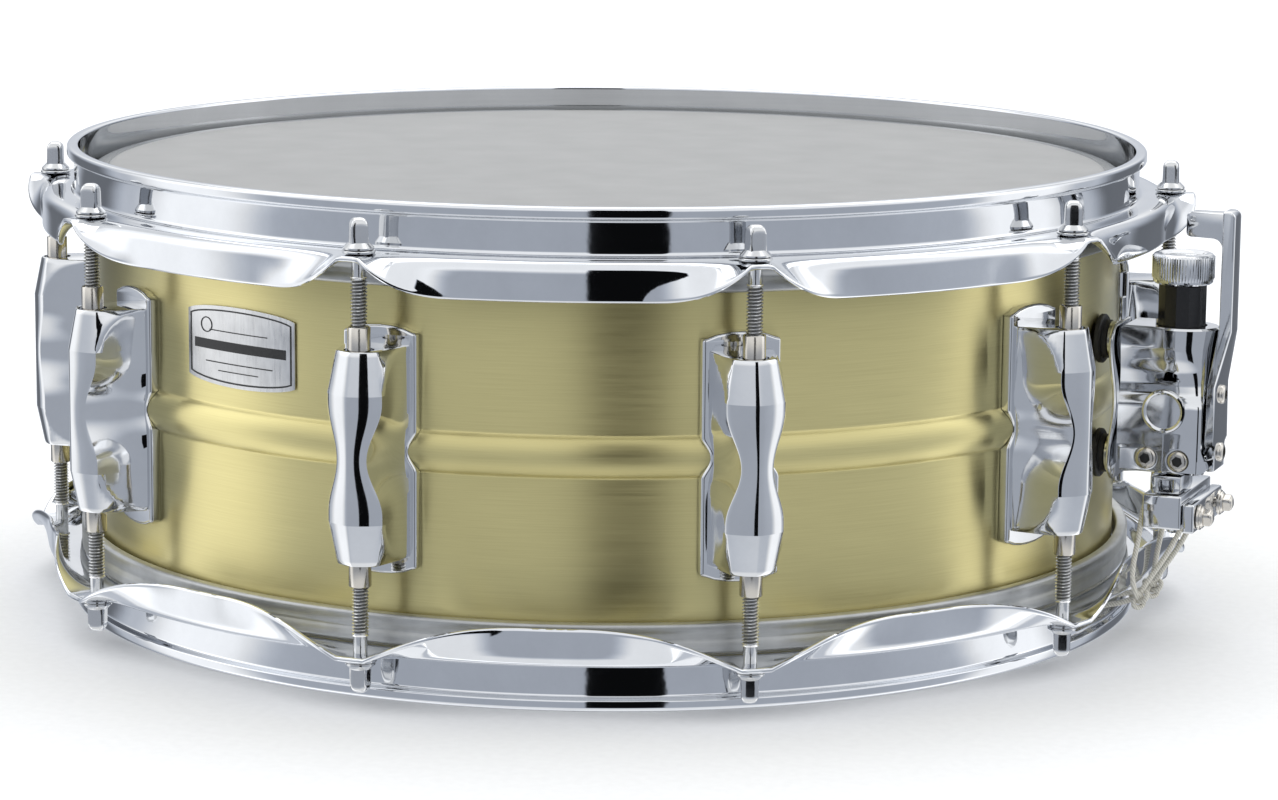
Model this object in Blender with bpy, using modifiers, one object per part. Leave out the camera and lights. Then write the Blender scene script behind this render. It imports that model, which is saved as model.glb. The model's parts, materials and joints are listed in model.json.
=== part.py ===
"""Snare drum, 14 x 5.5 in: brass shell, ten lugs that take a tension rod at each end, triple-flanged
hoops, throw-off on +X, butt end on -X, snare wires along X.

Lengths are in millimetres and become metres where vertices are made.  Heights in the design are
measured from the shell's mid-plane; the row's origin is the centre of the batter head's top face.
"""
import math

import bmesh
import bpy
from mathutils import Matrix, Vector

MM = 0.001
HEAD_TOP = 70.1            # batter head's top face above the mid-plane
GAP = 0.3                  # clearance between pieces that touch

# Shell
SHELL_RADIUS = 178.0
SHELL_WALL = 1.2
BEARING_EDGE = 69.55
BEAD_HALF_HEIGHT = 6.5
BEAD_HEIGHT = 2.8
EDGE_RADIUS = 174.6        # where the head bears on the shell
EDGE_INNER_RADIUS = 173.4
EDGE_ROLL_START = 62.5     # the shell is straight below this height
ROUND_STEPS = 48

# Heads and their flesh hoops
FILM = 0.25
FILM_FLAT_RADIUS = 175.5
FILM_OUTER_RADIUS = 180.2
FLESH_INNER = 179.2
FLESH_OUTER = 183.4
FLESH_TOP = 61.1
FLESH_BOTTOM = 51.5

# Counter hoops
SHEET = 1.6
WALL_OUTER = 184.0
LIP_OUTER = 186.4
LIP_TOP = 78.3
FLANGE_MIDDLE = 62.2
LIP_CHAMFER = 0.8
LIP_BAND = 3.3             # height of the lip's outer face below its top
TONGUE_START = 191.5
TONGUE_BEND = 4.7
EAR_REACH = 12.0
SKIRT_REACH = 13.3
BATTER_EAR_ANGLES = (1.2, 7.4)     # half-angles of the flat ear and of the opening in the skirt
SNARE_EAR_ANGLES = (2.0, 10.7)
GATE_HALF_WIDTH = 32.0
GATE_LOW = 64.6
GATE_HIGH = 73.4

# Lugs and tension rods
LUG_COUNT = 10
FIRST_LUG = 18.0
ROD_CIRCLE = 195.0
THREAD_RADIUS = 2.6
NECK_RADIUS = 2.2
NECK_END = 55.5            # the rod is threaded below this height
ROD_HOLE_RADIUS = 3.0
WASHER_RADIUS = 5.2
WASHER_TOP = 65.3
HEAD_HALF_WIDTH = 2.8
HEAD_SHOULDER = 73.0
HEAD_END = 74.1
LUG_HALF_HEIGHT = 33.4
LUG_CREASE = 20.0          # height of the crease across the lug's front
LUG_PLATE_HALF_WIDTH = 12.5
LUG_PLATE_HALF_HEIGHT = 39.5
NOTCH_DEPTH = 3.4
NOTCH_HALF_HEIGHT = 5.4
INSERT_END = 40.5
INSERT_RADIUS = 3.35
ROD_END = 22.5
LUG_BACK = 178.4
LUG_PLATE_FRONT = 181.0

# Badge
BADGE_ANGLE = -108.0
BADGE_HEIGHT = 26.0
BADGE_HALF_WIDTH = 24.5
BADGE_EDGE = 10.2          # half-height at the corners
BADGE_BOW = 2.8            # how much the long edges arch

# Throw-off
POST_HEIGHTS = {"upper": 20.5, "lower": -18.2}
POST_RADIUS = 6.0
BUSH_RADIUS = 8.2
BACK_PLATE = (185.6, 187.8)
BACK_PLATE_HALF_WIDTH = 12.0
HOUSING = (190.0, 217.4)
HOUSING_HALF_WIDTH = 10.8
BARREL_TOP = 27.0
SPINDLE_X = 206.3
SPINDLE_RADIUS = 2.6
SPINDLE_END = -27.5
SLEEVE_INNER = 3.2
SLEEVE_OUTER = 7.0
KNOB_RADIUS = 10.3
KNOB_LOW = 41.0
KNOB_TOP = 51.0
PIVOT_X = 216.0
PIVOT_Z = -18.0
PIN_RADIUS = 1.1
PIN_HOLE_RADIUS = 1.5
KNUCKLE_RADIUS = 2.4
LEVER_HALF_WIDTHS = (7.2, 4.4)
LEVER_TAPER = (8.0, 26.0)  # heights between which the lever narrows
BLOCK_HALF_WIDTH = 20.0
CLAMP_PLATE_HALF_WIDTH = 19.0
CLAMP_SCREW_RADIUS = 1.9
CLAMP_SCREW_SPACING = 26.8
CLAMP_SCREW_Z = -34.5
CORD_SPACING = 18.0
CORD_RADIUS = 0.9

# Snare wires
STRAND_COUNT = 20
STRAND_PITCH = 2.05
STRAND_WIDTH = 1.3
WIRE_TOP = -70.5
WIRE_HALF_LENGTH = 165.0
END_PLATE_LENGTH = 14.0

for old in list(bpy.data.objects):
    bpy.data.objects.remove(old, do_unlink=True)

drum = bpy.data.collections.new("snare_drum")
bpy.context.scene.collection.children.link(drum)


def material(name, colour, roughness, metallic):
    made = bpy.data.materials.new(name)
    made.use_nodes = True
    shader = made.node_tree.nodes["Principled BSDF"]
    shader.inputs["Base Color"].default_value = (*colour, 1.0)
    shader.inputs["Roughness"].default_value = roughness
    shader.inputs["Metallic"].default_value = metallic
    return made


BRASS = material("brushed_brass", (0.52, 0.49, 0.26), 0.35, 1.0)
CHROME = material("chrome", (0.80, 0.82, 0.84), 0.08, 1.0)
ALUMINIUM = material("flesh_hoop_aluminium", (0.55, 0.56, 0.57), 0.45, 1.0)
COATED = material("coated_film", (0.72, 0.72, 0.71), 0.65, 0.0)
CLEAR = material("clear_film", (0.80, 0.81, 0.80), 0.15, 0.0)
RUBBER = material("black_rubber", (0.02, 0.02, 0.02), 0.70, 0.0)
BLACK = material("black_plastic", (0.01, 0.01, 0.01), 0.15, 0.0)
STEEL = material("wire_steel", (0.60, 0.60, 0.60), 0.30, 1.0)
CORD = material("cord", (0.80, 0.77, 0.68), 0.80, 0.0)
BADGE = material("badge_plate", (0.70, 0.70, 0.70), 0.30, 1.0)


def place(x, y, z):
    """A design point, heights from the mid-plane, as a point of the row in metres."""
    return Vector((x * MM, y * MM, (z - HEAD_TOP) * MM))


def add(name, mesh, finish):
    mesh.name = name
    mesh.materials.clear()
    mesh.materials.append(finish)
    made = bpy.data.objects.new(name, mesh)
    drum.objects.link(made)
    return made


def from_bmesh(name, shape, finish):
    bmesh.ops.recalc_face_normals(shape, faces=shape.faces)
    mesh = bpy.data.meshes.new(name)
    shape.to_mesh(mesh)
    shape.free()
    return add(name, mesh, finish)


def bake(piece):
    """Turn the piece's modifiers into its mesh."""
    bpy.context.view_layer.update()
    depsgraph = bpy.context.evaluated_depsgraph_get()
    mesh = bpy.data.meshes.new_from_object(piece.evaluated_get(depsgraph))
    piece.modifiers.clear()
    piece.data = mesh
    mesh.name = piece.name
    return piece


def combine(piece, others, operation):
    """Join other solids to a piece, or cut them from it."""
    for other in others:
        step = piece.modifiers.new("combine", "BOOLEAN")
        step.operation = operation
        step.object = other
        step.solver = "EXACT"
        bake(piece)
        bpy.data.objects.remove(other, do_unlink=True)
    return piece


def join(piece, *others):
    return combine(piece, others, "UNION")


def cut(piece, *others):
    return combine(piece, others, "DIFFERENCE")


def turned(name, profile, finish, steps=ROUND_STEPS, closed=True):
    """A turned solid: the profile's (radius, height) points go round the drum's axis."""
    shape = bmesh.new()
    points = [shape.verts.new(place(radius, 0.0, height)) for radius, height in profile]
    for first, second in zip(points, points[1:]):
        shape.edges.new((first, second))
    if closed:
        shape.edges.new((points[-1], points[0]))
    mesh = bpy.data.meshes.new(name)
    shape.to_mesh(mesh)
    shape.free()
    piece = add(name, mesh, finish)
    turn = piece.modifiers.new("turn", "SCREW")
    turn.steps = steps
    turn.render_steps = steps
    turn.use_merge_vertices = True
    turn.merge_threshold = 0.00001
    turn.use_normal_calculate = True
    bake(piece)
    fix_normals(piece)
    return piece


def fix_normals(piece):
    shape = bmesh.new()
    shape.from_mesh(piece.data)
    bmesh.ops.recalc_face_normals(shape, faces=shape.faces)
    shape.to_mesh(piece.data)
    shape.free()


def box(name, low, high, finish):
    """A box between two design points."""
    shape = bmesh.new()
    bmesh.ops.create_cube(shape, size=1.0)
    start = place(*low)
    end = place(*high)
    size = end - start
    move = Matrix.Translation((start + end) / 2.0) @ Matrix.Diagonal((*size, 1.0))
    bmesh.ops.transform(shape, matrix=move, verts=shape.verts)
    return from_bmesh(name, shape, finish)


def cylinder(name, start, end, radius, finish, sides=12):
    """A cylinder between two design points."""
    low = place(*start)
    high = place(*end)
    direction = high - low
    shape = bmesh.new()
    bmesh.ops.create_cone(
        shape, cap_ends=True, segments=sides,
        radius1=radius * MM, radius2=radius * MM, depth=direction.length)
    turn = direction.to_track_quat("Z", "Y").to_matrix().to_4x4()
    move = Matrix.Translation((low + high) / 2.0) @ turn
    bmesh.ops.transform(shape, matrix=move, verts=shape.verts)
    return from_bmesh(name, shape, finish)


def loft(name, sections, finish, ring=False):
    """A solid through sections of equal point count; a ring joins the last to the first."""
    shape = bmesh.new()
    rows = [[shape.verts.new(point) for point in section] for section in sections]
    pairs = list(zip(rows, rows[1:]))
    if ring:
        pairs.append((rows[-1], rows[0]))
    count = len(rows[0])
    for first, second in pairs:
        for index in range(count):
            after = (index + 1) % count
            shape.faces.new((first[index], first[after], second[after], second[index]))
    if not ring:
        shape.faces.new(rows[0])
        shape.faces.new(rows[-1])
    return from_bmesh(name, shape, finish)


def polar(radius, degrees, height):
    angle = math.radians(degrees)
    return place(radius * math.cos(angle), radius * math.sin(angle), height)


def lug_angles():
    return [FIRST_LUG + 360.0 / LUG_COUNT * index for index in range(LUG_COUNT)]


def smooth(piece, degrees=35.0):
    piece.data.shade_smooth()
    piece.data.set_sharp_from_angle(angle=math.radians(degrees))
    return piece


# ---------------------------------------------------------------- shell, heads and hoops

def make_shell():
    """A thin tube with edges turned in to the bearing edge and one bead at mid-height."""
    outer = [
        (EDGE_RADIUS, BEARING_EDGE),
        (SHELL_RADIUS - 1.0, 66.6),
        (SHELL_RADIUS, EDGE_ROLL_START),
        (SHELL_RADIUS, BEAD_HALF_HEIGHT),
        (SHELL_RADIUS + BEAD_HEIGHT, 2.4),
    ]
    outer += [(radius, -height) for radius, height in reversed(outer)]
    inner = [(EDGE_INNER_RADIUS, BEARING_EDGE), (SHELL_RADIUS - SHELL_WALL, EDGE_ROLL_START - 1.0)]
    inner = [(radius, -height) for radius, height in inner] + list(reversed(inner))
    return smooth(turned("shell", outer + inner, BRASS))


def film_profile():
    collar = [
        (FILM_FLAT_RADIUS, HEAD_TOP),
        (178.2, 69.2),
        (179.8, 66.8),
        (FILM_OUTER_RADIUS, 64.5),
        (FILM_OUTER_RADIUS, FLESH_TOP + GAP),
    ]
    top = [(0.0, HEAD_TOP)] + collar
    under = [(radius - FILM * 0.8, height - FILM * 0.8) for radius, height in collar[1:3]]
    under = [(FILM_FLAT_RADIUS - 0.1, HEAD_TOP - FILM)] + under
    under.append((FILM_OUTER_RADIUS - FILM, FLESH_TOP + GAP))
    return top + list(reversed(under)) + [(0.0, HEAD_TOP - FILM)]


def make_head(name, side, finish):
    """A film with a flat middle, a rounded collar and a hem that drops to the flesh hoop."""
    profile = [(radius, side * height) for radius, height in film_profile()]
    return smooth(turned(name, profile, finish, closed=False), 50.0)


def make_flesh_hoop(name, side):
    profile = [
        (FLESH_INNER, FLESH_TOP),
        (FLESH_OUTER, FLESH_TOP),
        (FLESH_OUTER, FLESH_BOTTOM),
        (FLESH_INNER, FLESH_BOTTOM),
    ]
    return smooth(turned(name, [(radius, side * height) for radius, height in profile], ALUMINIUM))


def tongue(fold):
    """The sheet outside the second flange: flat at an ear, turned down through 90 deg as a skirt."""
    reach = EAR_REACH + (SKIRT_REACH - EAR_REACH) * math.sin(fold)
    upper = []
    lower = []
    for distance in (TONGUE_BEND * 0.25, TONGUE_BEND, reach):
        bent = min(distance, TONGUE_BEND)
        angle = fold * bent / TONGUE_BEND
        if fold > 0.0:
            across = TONGUE_BEND / fold * math.sin(angle)
            down = TONGUE_BEND / fold * (1.0 - math.cos(angle))
        else:
            across = bent
            down = 0.0
        across += (distance - bent) * math.cos(angle)
        down += (distance - bent) * math.sin(angle)
        radius = TONGUE_START + across
        height = FLANGE_MIDDLE - down
        half = SHEET / 2.0
        upper.append((radius + half * math.sin(angle), height + half * math.cos(angle)))
        lower.append((radius - half * math.sin(angle), height - half * math.cos(angle)))
    return upper + list(reversed(lower))


def hoop_section(fold):
    """Outline of the pressed sheet: lip, wall, second flange and tongue."""
    wall_inner = WALL_OUTER - SHEET
    flange_top = FLANGE_MIDDLE + SHEET / 2.0
    flange_bottom = FLANGE_MIDDLE - SHEET / 2.0
    lip = [
        (wall_inner, flange_bottom),
        (wall_inner, LIP_TOP),
        (LIP_OUTER - LIP_CHAMFER, LIP_TOP),
        (LIP_OUTER, LIP_TOP - LIP_CHAMFER),
        (LIP_OUTER, LIP_TOP - LIP_BAND),
        (WALL_OUTER, LIP_TOP - LIP_BAND - 1.1),
        (WALL_OUTER, flange_top),
    ]
    return lip + tongue(fold)


def make_hoop(name, side, ear_angles):
    """A triple-flanged hoop whose skirt opens out into a drilled ear at each rod."""
    flat_half_angle, skirt_half_angle = ear_angles
    halfway = 180.0 / LUG_COUNT
    middle = (flat_half_angle + skirt_half_angle) / 2.0
    between = (skirt_half_angle + halfway) / 2.0
    offsets = [flat_half_angle, middle, skirt_half_angle, between, halfway]
    offsets = [-offset for offset in reversed(offsets[:-1])] + offsets
    sections = []
    for lug in lug_angles():
        for offset in offsets:
            unfolded = (abs(offset) - flat_half_angle) / (skirt_half_angle - flat_half_angle)
            fold = math.pi / 2.0 * min(max(unfolded, 0.0), 1.0)
            outline = hoop_section(fold)
            sections.append([polar(radius, lug + offset, side * height) for radius, height in outline])
    hoop = loft(name, sections, CHROME, ring=True)
    holes = []
    for lug in lug_angles():
        x = ROD_CIRCLE * math.cos(math.radians(lug))
        y = ROD_CIRCLE * math.sin(math.radians(lug))
        start = (x, y, side * (FLANGE_MIDDLE - 4.0))
        end = (x, y, side * (FLANGE_MIDDLE + 4.0))
        holes.append(cylinder("hole", start, end, ROD_HOLE_RADIUS, CHROME))
    return cut(hoop, *holes)


def make_hoops():
    smooth(make_hoop("batter_hoop", 1.0, BATTER_EAR_ANGLES), 40.0)
    hoop = make_hoop("snare_side_hoop", -1.0, SNARE_EAR_ANGLES)
    for start in (WALL_OUTER - 14.0, -WALL_OUTER - 6.0):
        low = (start, -GATE_HALF_WIDTH, -GATE_HIGH)
        high = (start + 20.0, GATE_HALF_WIDTH, -GATE_LOW)
        cut(hoop, box("gate", low, high, CHROME))
    smooth(hoop, 40.0)


# ---------------------------------------------------------------- lugs, rods and badge

def lug_base_outline():
    """Half of the base plate's front outline, from its top middle to its lower middle."""
    side = LUG_PLATE_HALF_WIDTH
    end = LUG_PLATE_HALF_HEIGHT
    upper = [(0.0, end), (side * 0.52, end - 0.5), (side, end - 2.9), (side, NOTCH_HALF_HEIGHT + 0.6)]
    notch = []
    for degrees in (60.0, 0.0, -60.0):
        angle = math.radians(degrees)
        notch.append((side - NOTCH_DEPTH * math.cos(angle), NOTCH_HALF_HEIGHT * math.sin(angle)))
    return upper + notch + [(y, -z) for y, z in reversed(upper)]


def lug_section(height, half_width, front):
    """Section of the casting across its length: concave flanks between base and front."""
    waist = half_width * 0.62
    flank = [
        (LUG_PLATE_FRONT - 0.8, half_width + 1.2),
        (187.5, waist),
        (194.0, waist + 0.6),
        (front - 2.6, half_width),
        (front, half_width * 0.62),
    ]
    points = flank + [(x, -y) for x, y in reversed(flank)]
    return [place(x, y, height) for x, y in points]


def make_lug_mesh():
    right = lug_base_outline()
    outline = right + [(-y, z) for y, z in reversed(right[1:-1])]
    sections = [[place(x, y, z) for y, z in outline] for x in (LUG_BACK, LUG_PLATE_FRONT)]
    lug = loft("lug", sections, CHROME)
    stations = [
        (LUG_HALF_HEIGHT, 7.2, 201.0),
        (LUG_CREASE, 8.8, 203.0),
        (0.0, 5.0, 203.4),
        (-LUG_CREASE, 8.8, 203.0),
        (-LUG_HALF_HEIGHT, 7.2, 201.0),
    ]
    body = loft("body", [lug_section(*station) for station in stations], CHROME)
    join(lug, body)
    channel_front = SHELL_RADIUS + BEAD_HEIGHT + 0.5
    half_height = BEAD_HALF_HEIGHT + 0.5
    low = (SHELL_RADIUS - 8.0, -20.0, -half_height)
    cut(lug, box("bead_channel", low, (channel_front, 20.0, half_height), CHROME))
    for sign in (1.0, -1.0):
        start = (ROD_CIRCLE, 0.0, sign * (LUG_HALF_HEIGHT - 2.0))
        end = (ROD_CIRCLE, 0.0, sign * INSERT_END)
        join(lug, cylinder("insert", start, end, INSERT_RADIUS + 0.15, CHROME, sides=10))
        bore_start = (ROD_CIRCLE, 0.0, sign * (ROD_END - 2.0))
        bore_end = (ROD_CIRCLE, 0.0, sign * (INSERT_END + 1.0))
        cut(lug, cylinder("bore", bore_start, bore_end, THREAD_RADIUS + 0.35, CHROME, sides=8))
    smooth(lug, 30.0)
    return lug


def make_lugs():
    first = make_lug_mesh()
    mesh = first.data
    bpy.data.objects.remove(first)
    for index, degrees in enumerate(lug_angles()):
        piece = add(f"lug_{index + 1:02d}", mesh, CHROME)
        piece.rotation_euler = (0.0, 0.0, math.radians(degrees))
    mesh.name = "lug"


def make_rod_mesh():
    """A tension rod about its own axis: thread, neck, washers, collar and square head."""
    washer_bottom = FLANGE_MIDDLE + SHEET / 2.0 + GAP
    profile = [
        (0.0, WASHER_TOP),
        (WASHER_RADIUS, WASHER_TOP),
        (WASHER_RADIUS, washer_bottom),
        (NECK_RADIUS, washer_bottom),
        (NECK_RADIUS, NECK_END),
        (THREAD_RADIUS, NECK_END - 0.7),
        (THREAD_RADIUS, ROD_END),
        (0.0, ROD_END),
    ]
    rod = turned("rod", profile, CHROME, steps=8, closed=False)
    levels = (
        (WASHER_TOP - 0.7, HEAD_HALF_WIDTH),
        (HEAD_SHOULDER, HEAD_HALF_WIDTH),
        (HEAD_END, HEAD_HALF_WIDTH - 0.9),
    )
    join(rod, loft("head", [rod_head_section(*level) for level in levels], CHROME))
    smooth(rod, 40.0)
    return rod


def rod_head_section(height, half_width):
    corners = ((1.0, 1.0), (-1.0, 1.0), (-1.0, -1.0), (1.0, -1.0))
    return [place(x * half_width, y * half_width, height) for x, y in corners]


def make_rods():
    first = make_rod_mesh()
    mesh = first.data
    # The rod's mesh is centred on the mid-plane, so that one mesh serves both sides.
    mesh.transform(Matrix.Translation((0.0, 0.0, HEAD_TOP * MM)))
    bpy.data.objects.remove(first)
    for side_name, flip in (("batter", 0.0), ("snare", math.pi)):
        for index, degrees in enumerate(lug_angles()):
            piece = add(f"{side_name}_tension_rod_{index + 1:02d}", mesh, CHROME)
            piece.location = polar(ROD_CIRCLE, degrees, 0.0)
            piece.rotation_euler = (flip, 0.0, math.radians(degrees))
    mesh.name = "tension_rod"


def make_badge():
    """A thin curved plate with arched long edges, between two lugs."""
    inner = SHELL_RADIUS + GAP
    outer = SHELL_RADIUS + 1.0
    half_angle = math.degrees(BADGE_HALF_WIDTH / SHELL_RADIUS)
    columns = 10
    sections = []
    for column in range(columns + 1):
        across = -1.0 + 2.0 * column / columns
        half_height = BADGE_EDGE + BADGE_BOW * math.sqrt(1.0 - 0.9 * across * across)
        degrees = BADGE_ANGLE + across * half_angle
        corners = ((inner, -half_height), (outer, -half_height), (outer, half_height), (inner, half_height))
        sections.append([polar(radius, degrees, BADGE_HEIGHT + height) for radius, height in corners])
    smooth(loft("badge", sections, BADGE))


# ---------------------------------------------------------------- throw-off

def make_strainer_mounts():
    back, front = BACK_PLATE
    low = (back, -BACK_PLATE_HALF_WIDTH, -25.0)
    plate = box("strainer_back_plate", low, (front, BACK_PLATE_HALF_WIDTH, BARREL_TOP), CHROME)
    bush_front = back - 3.2
    for name, height in POST_HEIGHTS.items():
        start = (bush_front + GAP, 0.0, height)
        join(plate, cylinder("post", start, (back + 0.9, 0.0, height), POST_RADIUS, CHROME))
        bush_back = (SHELL_RADIUS + GAP, 0.0, height)
        bush_name = f"strainer_mount_bush_{name}"
        smooth(cylinder(bush_name, bush_back, (bush_front, 0.0, height), BUSH_RADIUS, RUBBER, 20))


def make_housing():
    """Cast body: a barrel round the spindle over a block, on an arm from the back plate."""
    back, front = HOUSING
    wide = HOUSING_HALF_WIDTH
    ear_wide = wide - 0.4
    housing = box("strainer_housing", (back, -wide, -21.7), (front, wide, 5.6), CHROME)
    barrel = cylinder("barrel", (SPINDLE_X, 0.0, 2.0), (SPINDLE_X, 0.0, BARREL_TOP), wide, CHROME, 24)
    arm = box("arm", (BACK_PLATE[1] + GAP, -7.5, -12.0), (back + 10.0, 7.5, 24.0), CHROME)
    ears = box("ears", (205.0, -ear_wide, -21.3), (front + 1.2, ear_wide, -12.4), CHROME)
    join(housing, barrel, arm, ears)
    shoulder = (SPINDLE_X, 0.0, 9.0)
    mouth = (SPINDLE_X, 0.0, BARREL_TOP + 1.0)
    counterbore = cylinder("counterbore", shoulder, mouth, SLEEVE_OUTER + 2.0 * GAP, CHROME, 20)
    bore = cylinder("bore", (SPINDLE_X, 0.0, -23.0), (SPINDLE_X, 0.0, 10.0), SPINDLE_RADIUS + 1.2, CHROME, 12)
    slot = LEVER_HALF_WIDTHS[0] + 0.5
    recess = box("recess", (PIVOT_X - 3.6, -slot, -23.0), (PIVOT_X + 4.0, slot, -11.0), CHROME)
    cut(housing, counterbore, bore, recess, across_pivot("pin_hole", wide + 1.2, PIN_HOLE_RADIUS, CHROME, 10))
    smooth(housing, 30.0)
    smooth(across_pivot("lever_hinge_pin", wide - 0.6, PIN_RADIUS, STEEL, 10))


def across_pivot(name, reach, radius, finish, sides):
    """A cylinder along the lever's hinge axis."""
    return cylinder(name, (PIVOT_X, -reach, PIVOT_Z), (PIVOT_X, reach, PIVOT_Z), radius, finish, sides)


def lever_half_width(height):
    """The lever is wide over the housing and narrow beside the knob."""
    low, high = LEVER_TAPER
    wide, narrow = LEVER_HALF_WIDTHS
    share = min(max((height - low) / (high - low), 0.0), 1.0)
    return wide + (narrow - wide) * share


def make_lever():
    """A long bar against the housing, bent outward past the knob and hooked over it."""
    outline = [
        (217.8, -20.8), (220.6, -20.8), (220.6, 8.0), (224.3, 26.0), (224.3, 62.8), (223.4, 64.8),
        (221.2, 65.8), (208.8, 65.8), (207.6, 64.6), (207.6, 57.8), (208.6, 56.6), (216.6, 56.6),
        (218.9, 55.6), (219.7, 53.4), (219.7, 26.0), (217.8, 8.0),
    ]
    sections = []
    for side in (-1.0, 1.0):
        sections.append([place(x, side * lever_half_width(z), z) for x, z in outline])
    lever = loft("throw_lever", sections, CHROME)
    wide = LEVER_HALF_WIDTHS[0]
    join(lever, across_pivot("knuckle", wide, KNUCKLE_RADIUS, CHROME, 14))
    cut(lever, across_pivot("hole", wide + 1.8, PIN_HOLE_RADIUS, CHROME, 10))
    smooth(lever, 30.0)


def upright(name, profile, finish, steps):
    """A turned piece standing on the spindle's axis."""
    piece = turned(name, profile, finish, steps=steps, closed=profile[0][0] > 0.0)
    piece.data.transform(Matrix.Translation((SPINDLE_X * MM, 0.0, 0.0)))
    return smooth(piece)


def make_knob_and_sleeve():
    dish = KNOB_TOP - 1.0
    knob = [
        (0.0, dish),
        (KNOB_RADIUS - 2.9, dish),
        (KNOB_RADIUS - 1.9, KNOB_TOP),
        (KNOB_RADIUS - 0.7, KNOB_TOP),
        (KNOB_RADIUS, KNOB_TOP - 0.7),
        (KNOB_RADIUS, KNOB_LOW + 0.6),
        (KNOB_RADIUS - 0.6, KNOB_LOW),
        (SPINDLE_RADIUS, KNOB_LOW),
        (SPINDLE_RADIUS, SPINDLE_END),
        (0.0, SPINDLE_END),
    ]
    upright("adjusting_knob", knob, CHROME, 16)
    sleeve_top = KNOB_LOW - GAP
    sleeve_low = 18.6
    sleeve = [
        (SLEEVE_INNER, sleeve_top),
        (SLEEVE_OUTER, sleeve_top),
        (SLEEVE_OUTER, sleeve_low),
        (SLEEVE_INNER, sleeve_low),
    ]
    upright("carriage_sleeve", sleeve, BLACK, 16)


def clamp_screw(name, x, y, direction, length):
    """A square-head screw along X with a washer under its head."""
    def along(distance):
        return (x + direction * distance, y, CLAMP_SCREW_Z)
    screw = cylinder(name, along(-length), along(1.5), CLAMP_SCREW_RADIUS, CHROME, 8)
    join(screw, cylinder("washer", along(0.0), along(1.8), 4.2, CHROME, 12))
    join(screw, cylinder("head", along(1.0), along(5.1), 3.2, CHROME, 4))
    smooth(screw)


def screw_hole(start, end, y):
    """A clamp screw's clearance hole, to be cut."""
    radius = CLAMP_SCREW_RADIUS + 0.4
    return cylinder("hole", (start, y, CLAMP_SCREW_Z), (end, y, CLAMP_SCREW_Z), radius, CHROME, 10)


def make_clamp():
    """The slide carries the block and plate that grip the snare cords."""
    slide = box("snare_slide", (199.4, -8.0, -29.0), (213.0, 8.0, -22.8), CHROME)
    block = box("block", (200.0, -BLOCK_HALF_WIDTH, -38.3), (213.0, BLOCK_HALF_WIDTH, -27.0), CHROME)
    join(slide, block)
    low = (SPINDLE_X, 0.0, -30.0)
    high = (SPINDLE_X, 0.0, -22.0)
    cut(slide, cylinder("tapped", low, high, SPINDLE_RADIUS + 0.5, CHROME, 10))
    wide = CLAMP_PLATE_HALF_WIDTH
    plate = box("strainer_clamp_plate", (213.0 + GAP, -wide, -39.4), (217.2, wide, -29.6), CHROME)
    for name, sign in (("front", -1.0), ("back", 1.0)):
        y = sign * CLAMP_SCREW_SPACING / 2.0
        for piece in (slide, plate):
            cut(piece, screw_hole(205.0, 218.0, y))
        clamp_screw(f"strainer_clamp_screw_{name}", 217.2 + GAP, y, 1.0, 11.5)
    smooth(slide, 30.0)


# ---------------------------------------------------------------- butt end

def make_butt():
    """The fixed end: a plate on the shell whose foot grips the cords under a clamp plate."""
    plate = box("butt_plate", (-182.4, -15.0, -44.0), (-178.4, 15.0, -9.0), CHROME)
    block = box("block", (-193.0, -BLOCK_HALF_WIDTH, -38.3), (-182.0, BLOCK_HALF_WIDTH, -26.0), CHROME)
    join(plate, block)
    wide = CLAMP_PLATE_HALF_WIDTH
    clamp = box("butt_clamp_plate", (-197.2, -wide, -39.4), (-193.0 - GAP, wide, -28.0), CHROME)
    for name, sign in (("front", -1.0), ("back", 1.0)):
        y = sign * CLAMP_SCREW_SPACING / 2.0
        for piece in (plate, clamp):
            cut(piece, screw_hole(-198.0, -184.0, y))
        clamp_screw(f"butt_clamp_screw_{name}", -197.2 - GAP, y, -1.0, 12.5)


# ---------------------------------------------------------------- snare wires and cords

def make_wires():
    """Parallel strands between two end plates, just under the snare-side head."""
    half_width = STRAND_COUNT * STRAND_PITCH / 2.0 + 0.4
    plates = []
    for sign in (1.0, -1.0):
        inner = WIRE_HALF_LENGTH - END_PLATE_LENGTH
        low_x = min(sign * inner, sign * WIRE_HALF_LENGTH)
        low = (low_x, -half_width, WIRE_TOP - 1.7)
        high = (low_x + END_PLATE_LENGTH, half_width, WIRE_TOP)
        plates.append(box("plate", low, high, STEEL))
    wires = plates[0]
    wires.name = "snare_wires"
    join(wires, plates[1])
    reach = WIRE_HALF_LENGTH - END_PLATE_LENGTH + 1.0
    strands = bmesh.new()
    for index in range(STRAND_COUNT):
        y = (index - (STRAND_COUNT - 1) / 2.0) * STRAND_PITCH
        middle = place(0.0, y, WIRE_TOP - 0.85)
        size = Vector((2.0 * reach * MM, STRAND_WIDTH * MM, STRAND_WIDTH * MM))
        move = Matrix.Translation(middle) @ Matrix.Diagonal((*size, 1.0))
        bmesh.ops.create_cube(strands, size=1.0, matrix=move)
    join(wires, from_bmesh("strands", strands, STEEL))


def cord(name, route):
    """A round cord on a smooth curve through its route's points."""
    curve = bpy.data.curves.new(name, "CURVE")
    curve.dimensions = "3D"
    curve.bevel_depth = CORD_RADIUS * MM
    curve.bevel_resolution = 2
    curve.use_fill_caps = True
    line = curve.splines.new("POLY")
    points = smooth_route(route)
    line.points.add(len(points) - 1)
    for point, position in zip(line.points, points):
        point.co = (*position, 1.0)
    piece = bpy.data.objects.new(name, curve)
    drum.objects.link(piece)
    curve.materials.append(CORD)


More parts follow.
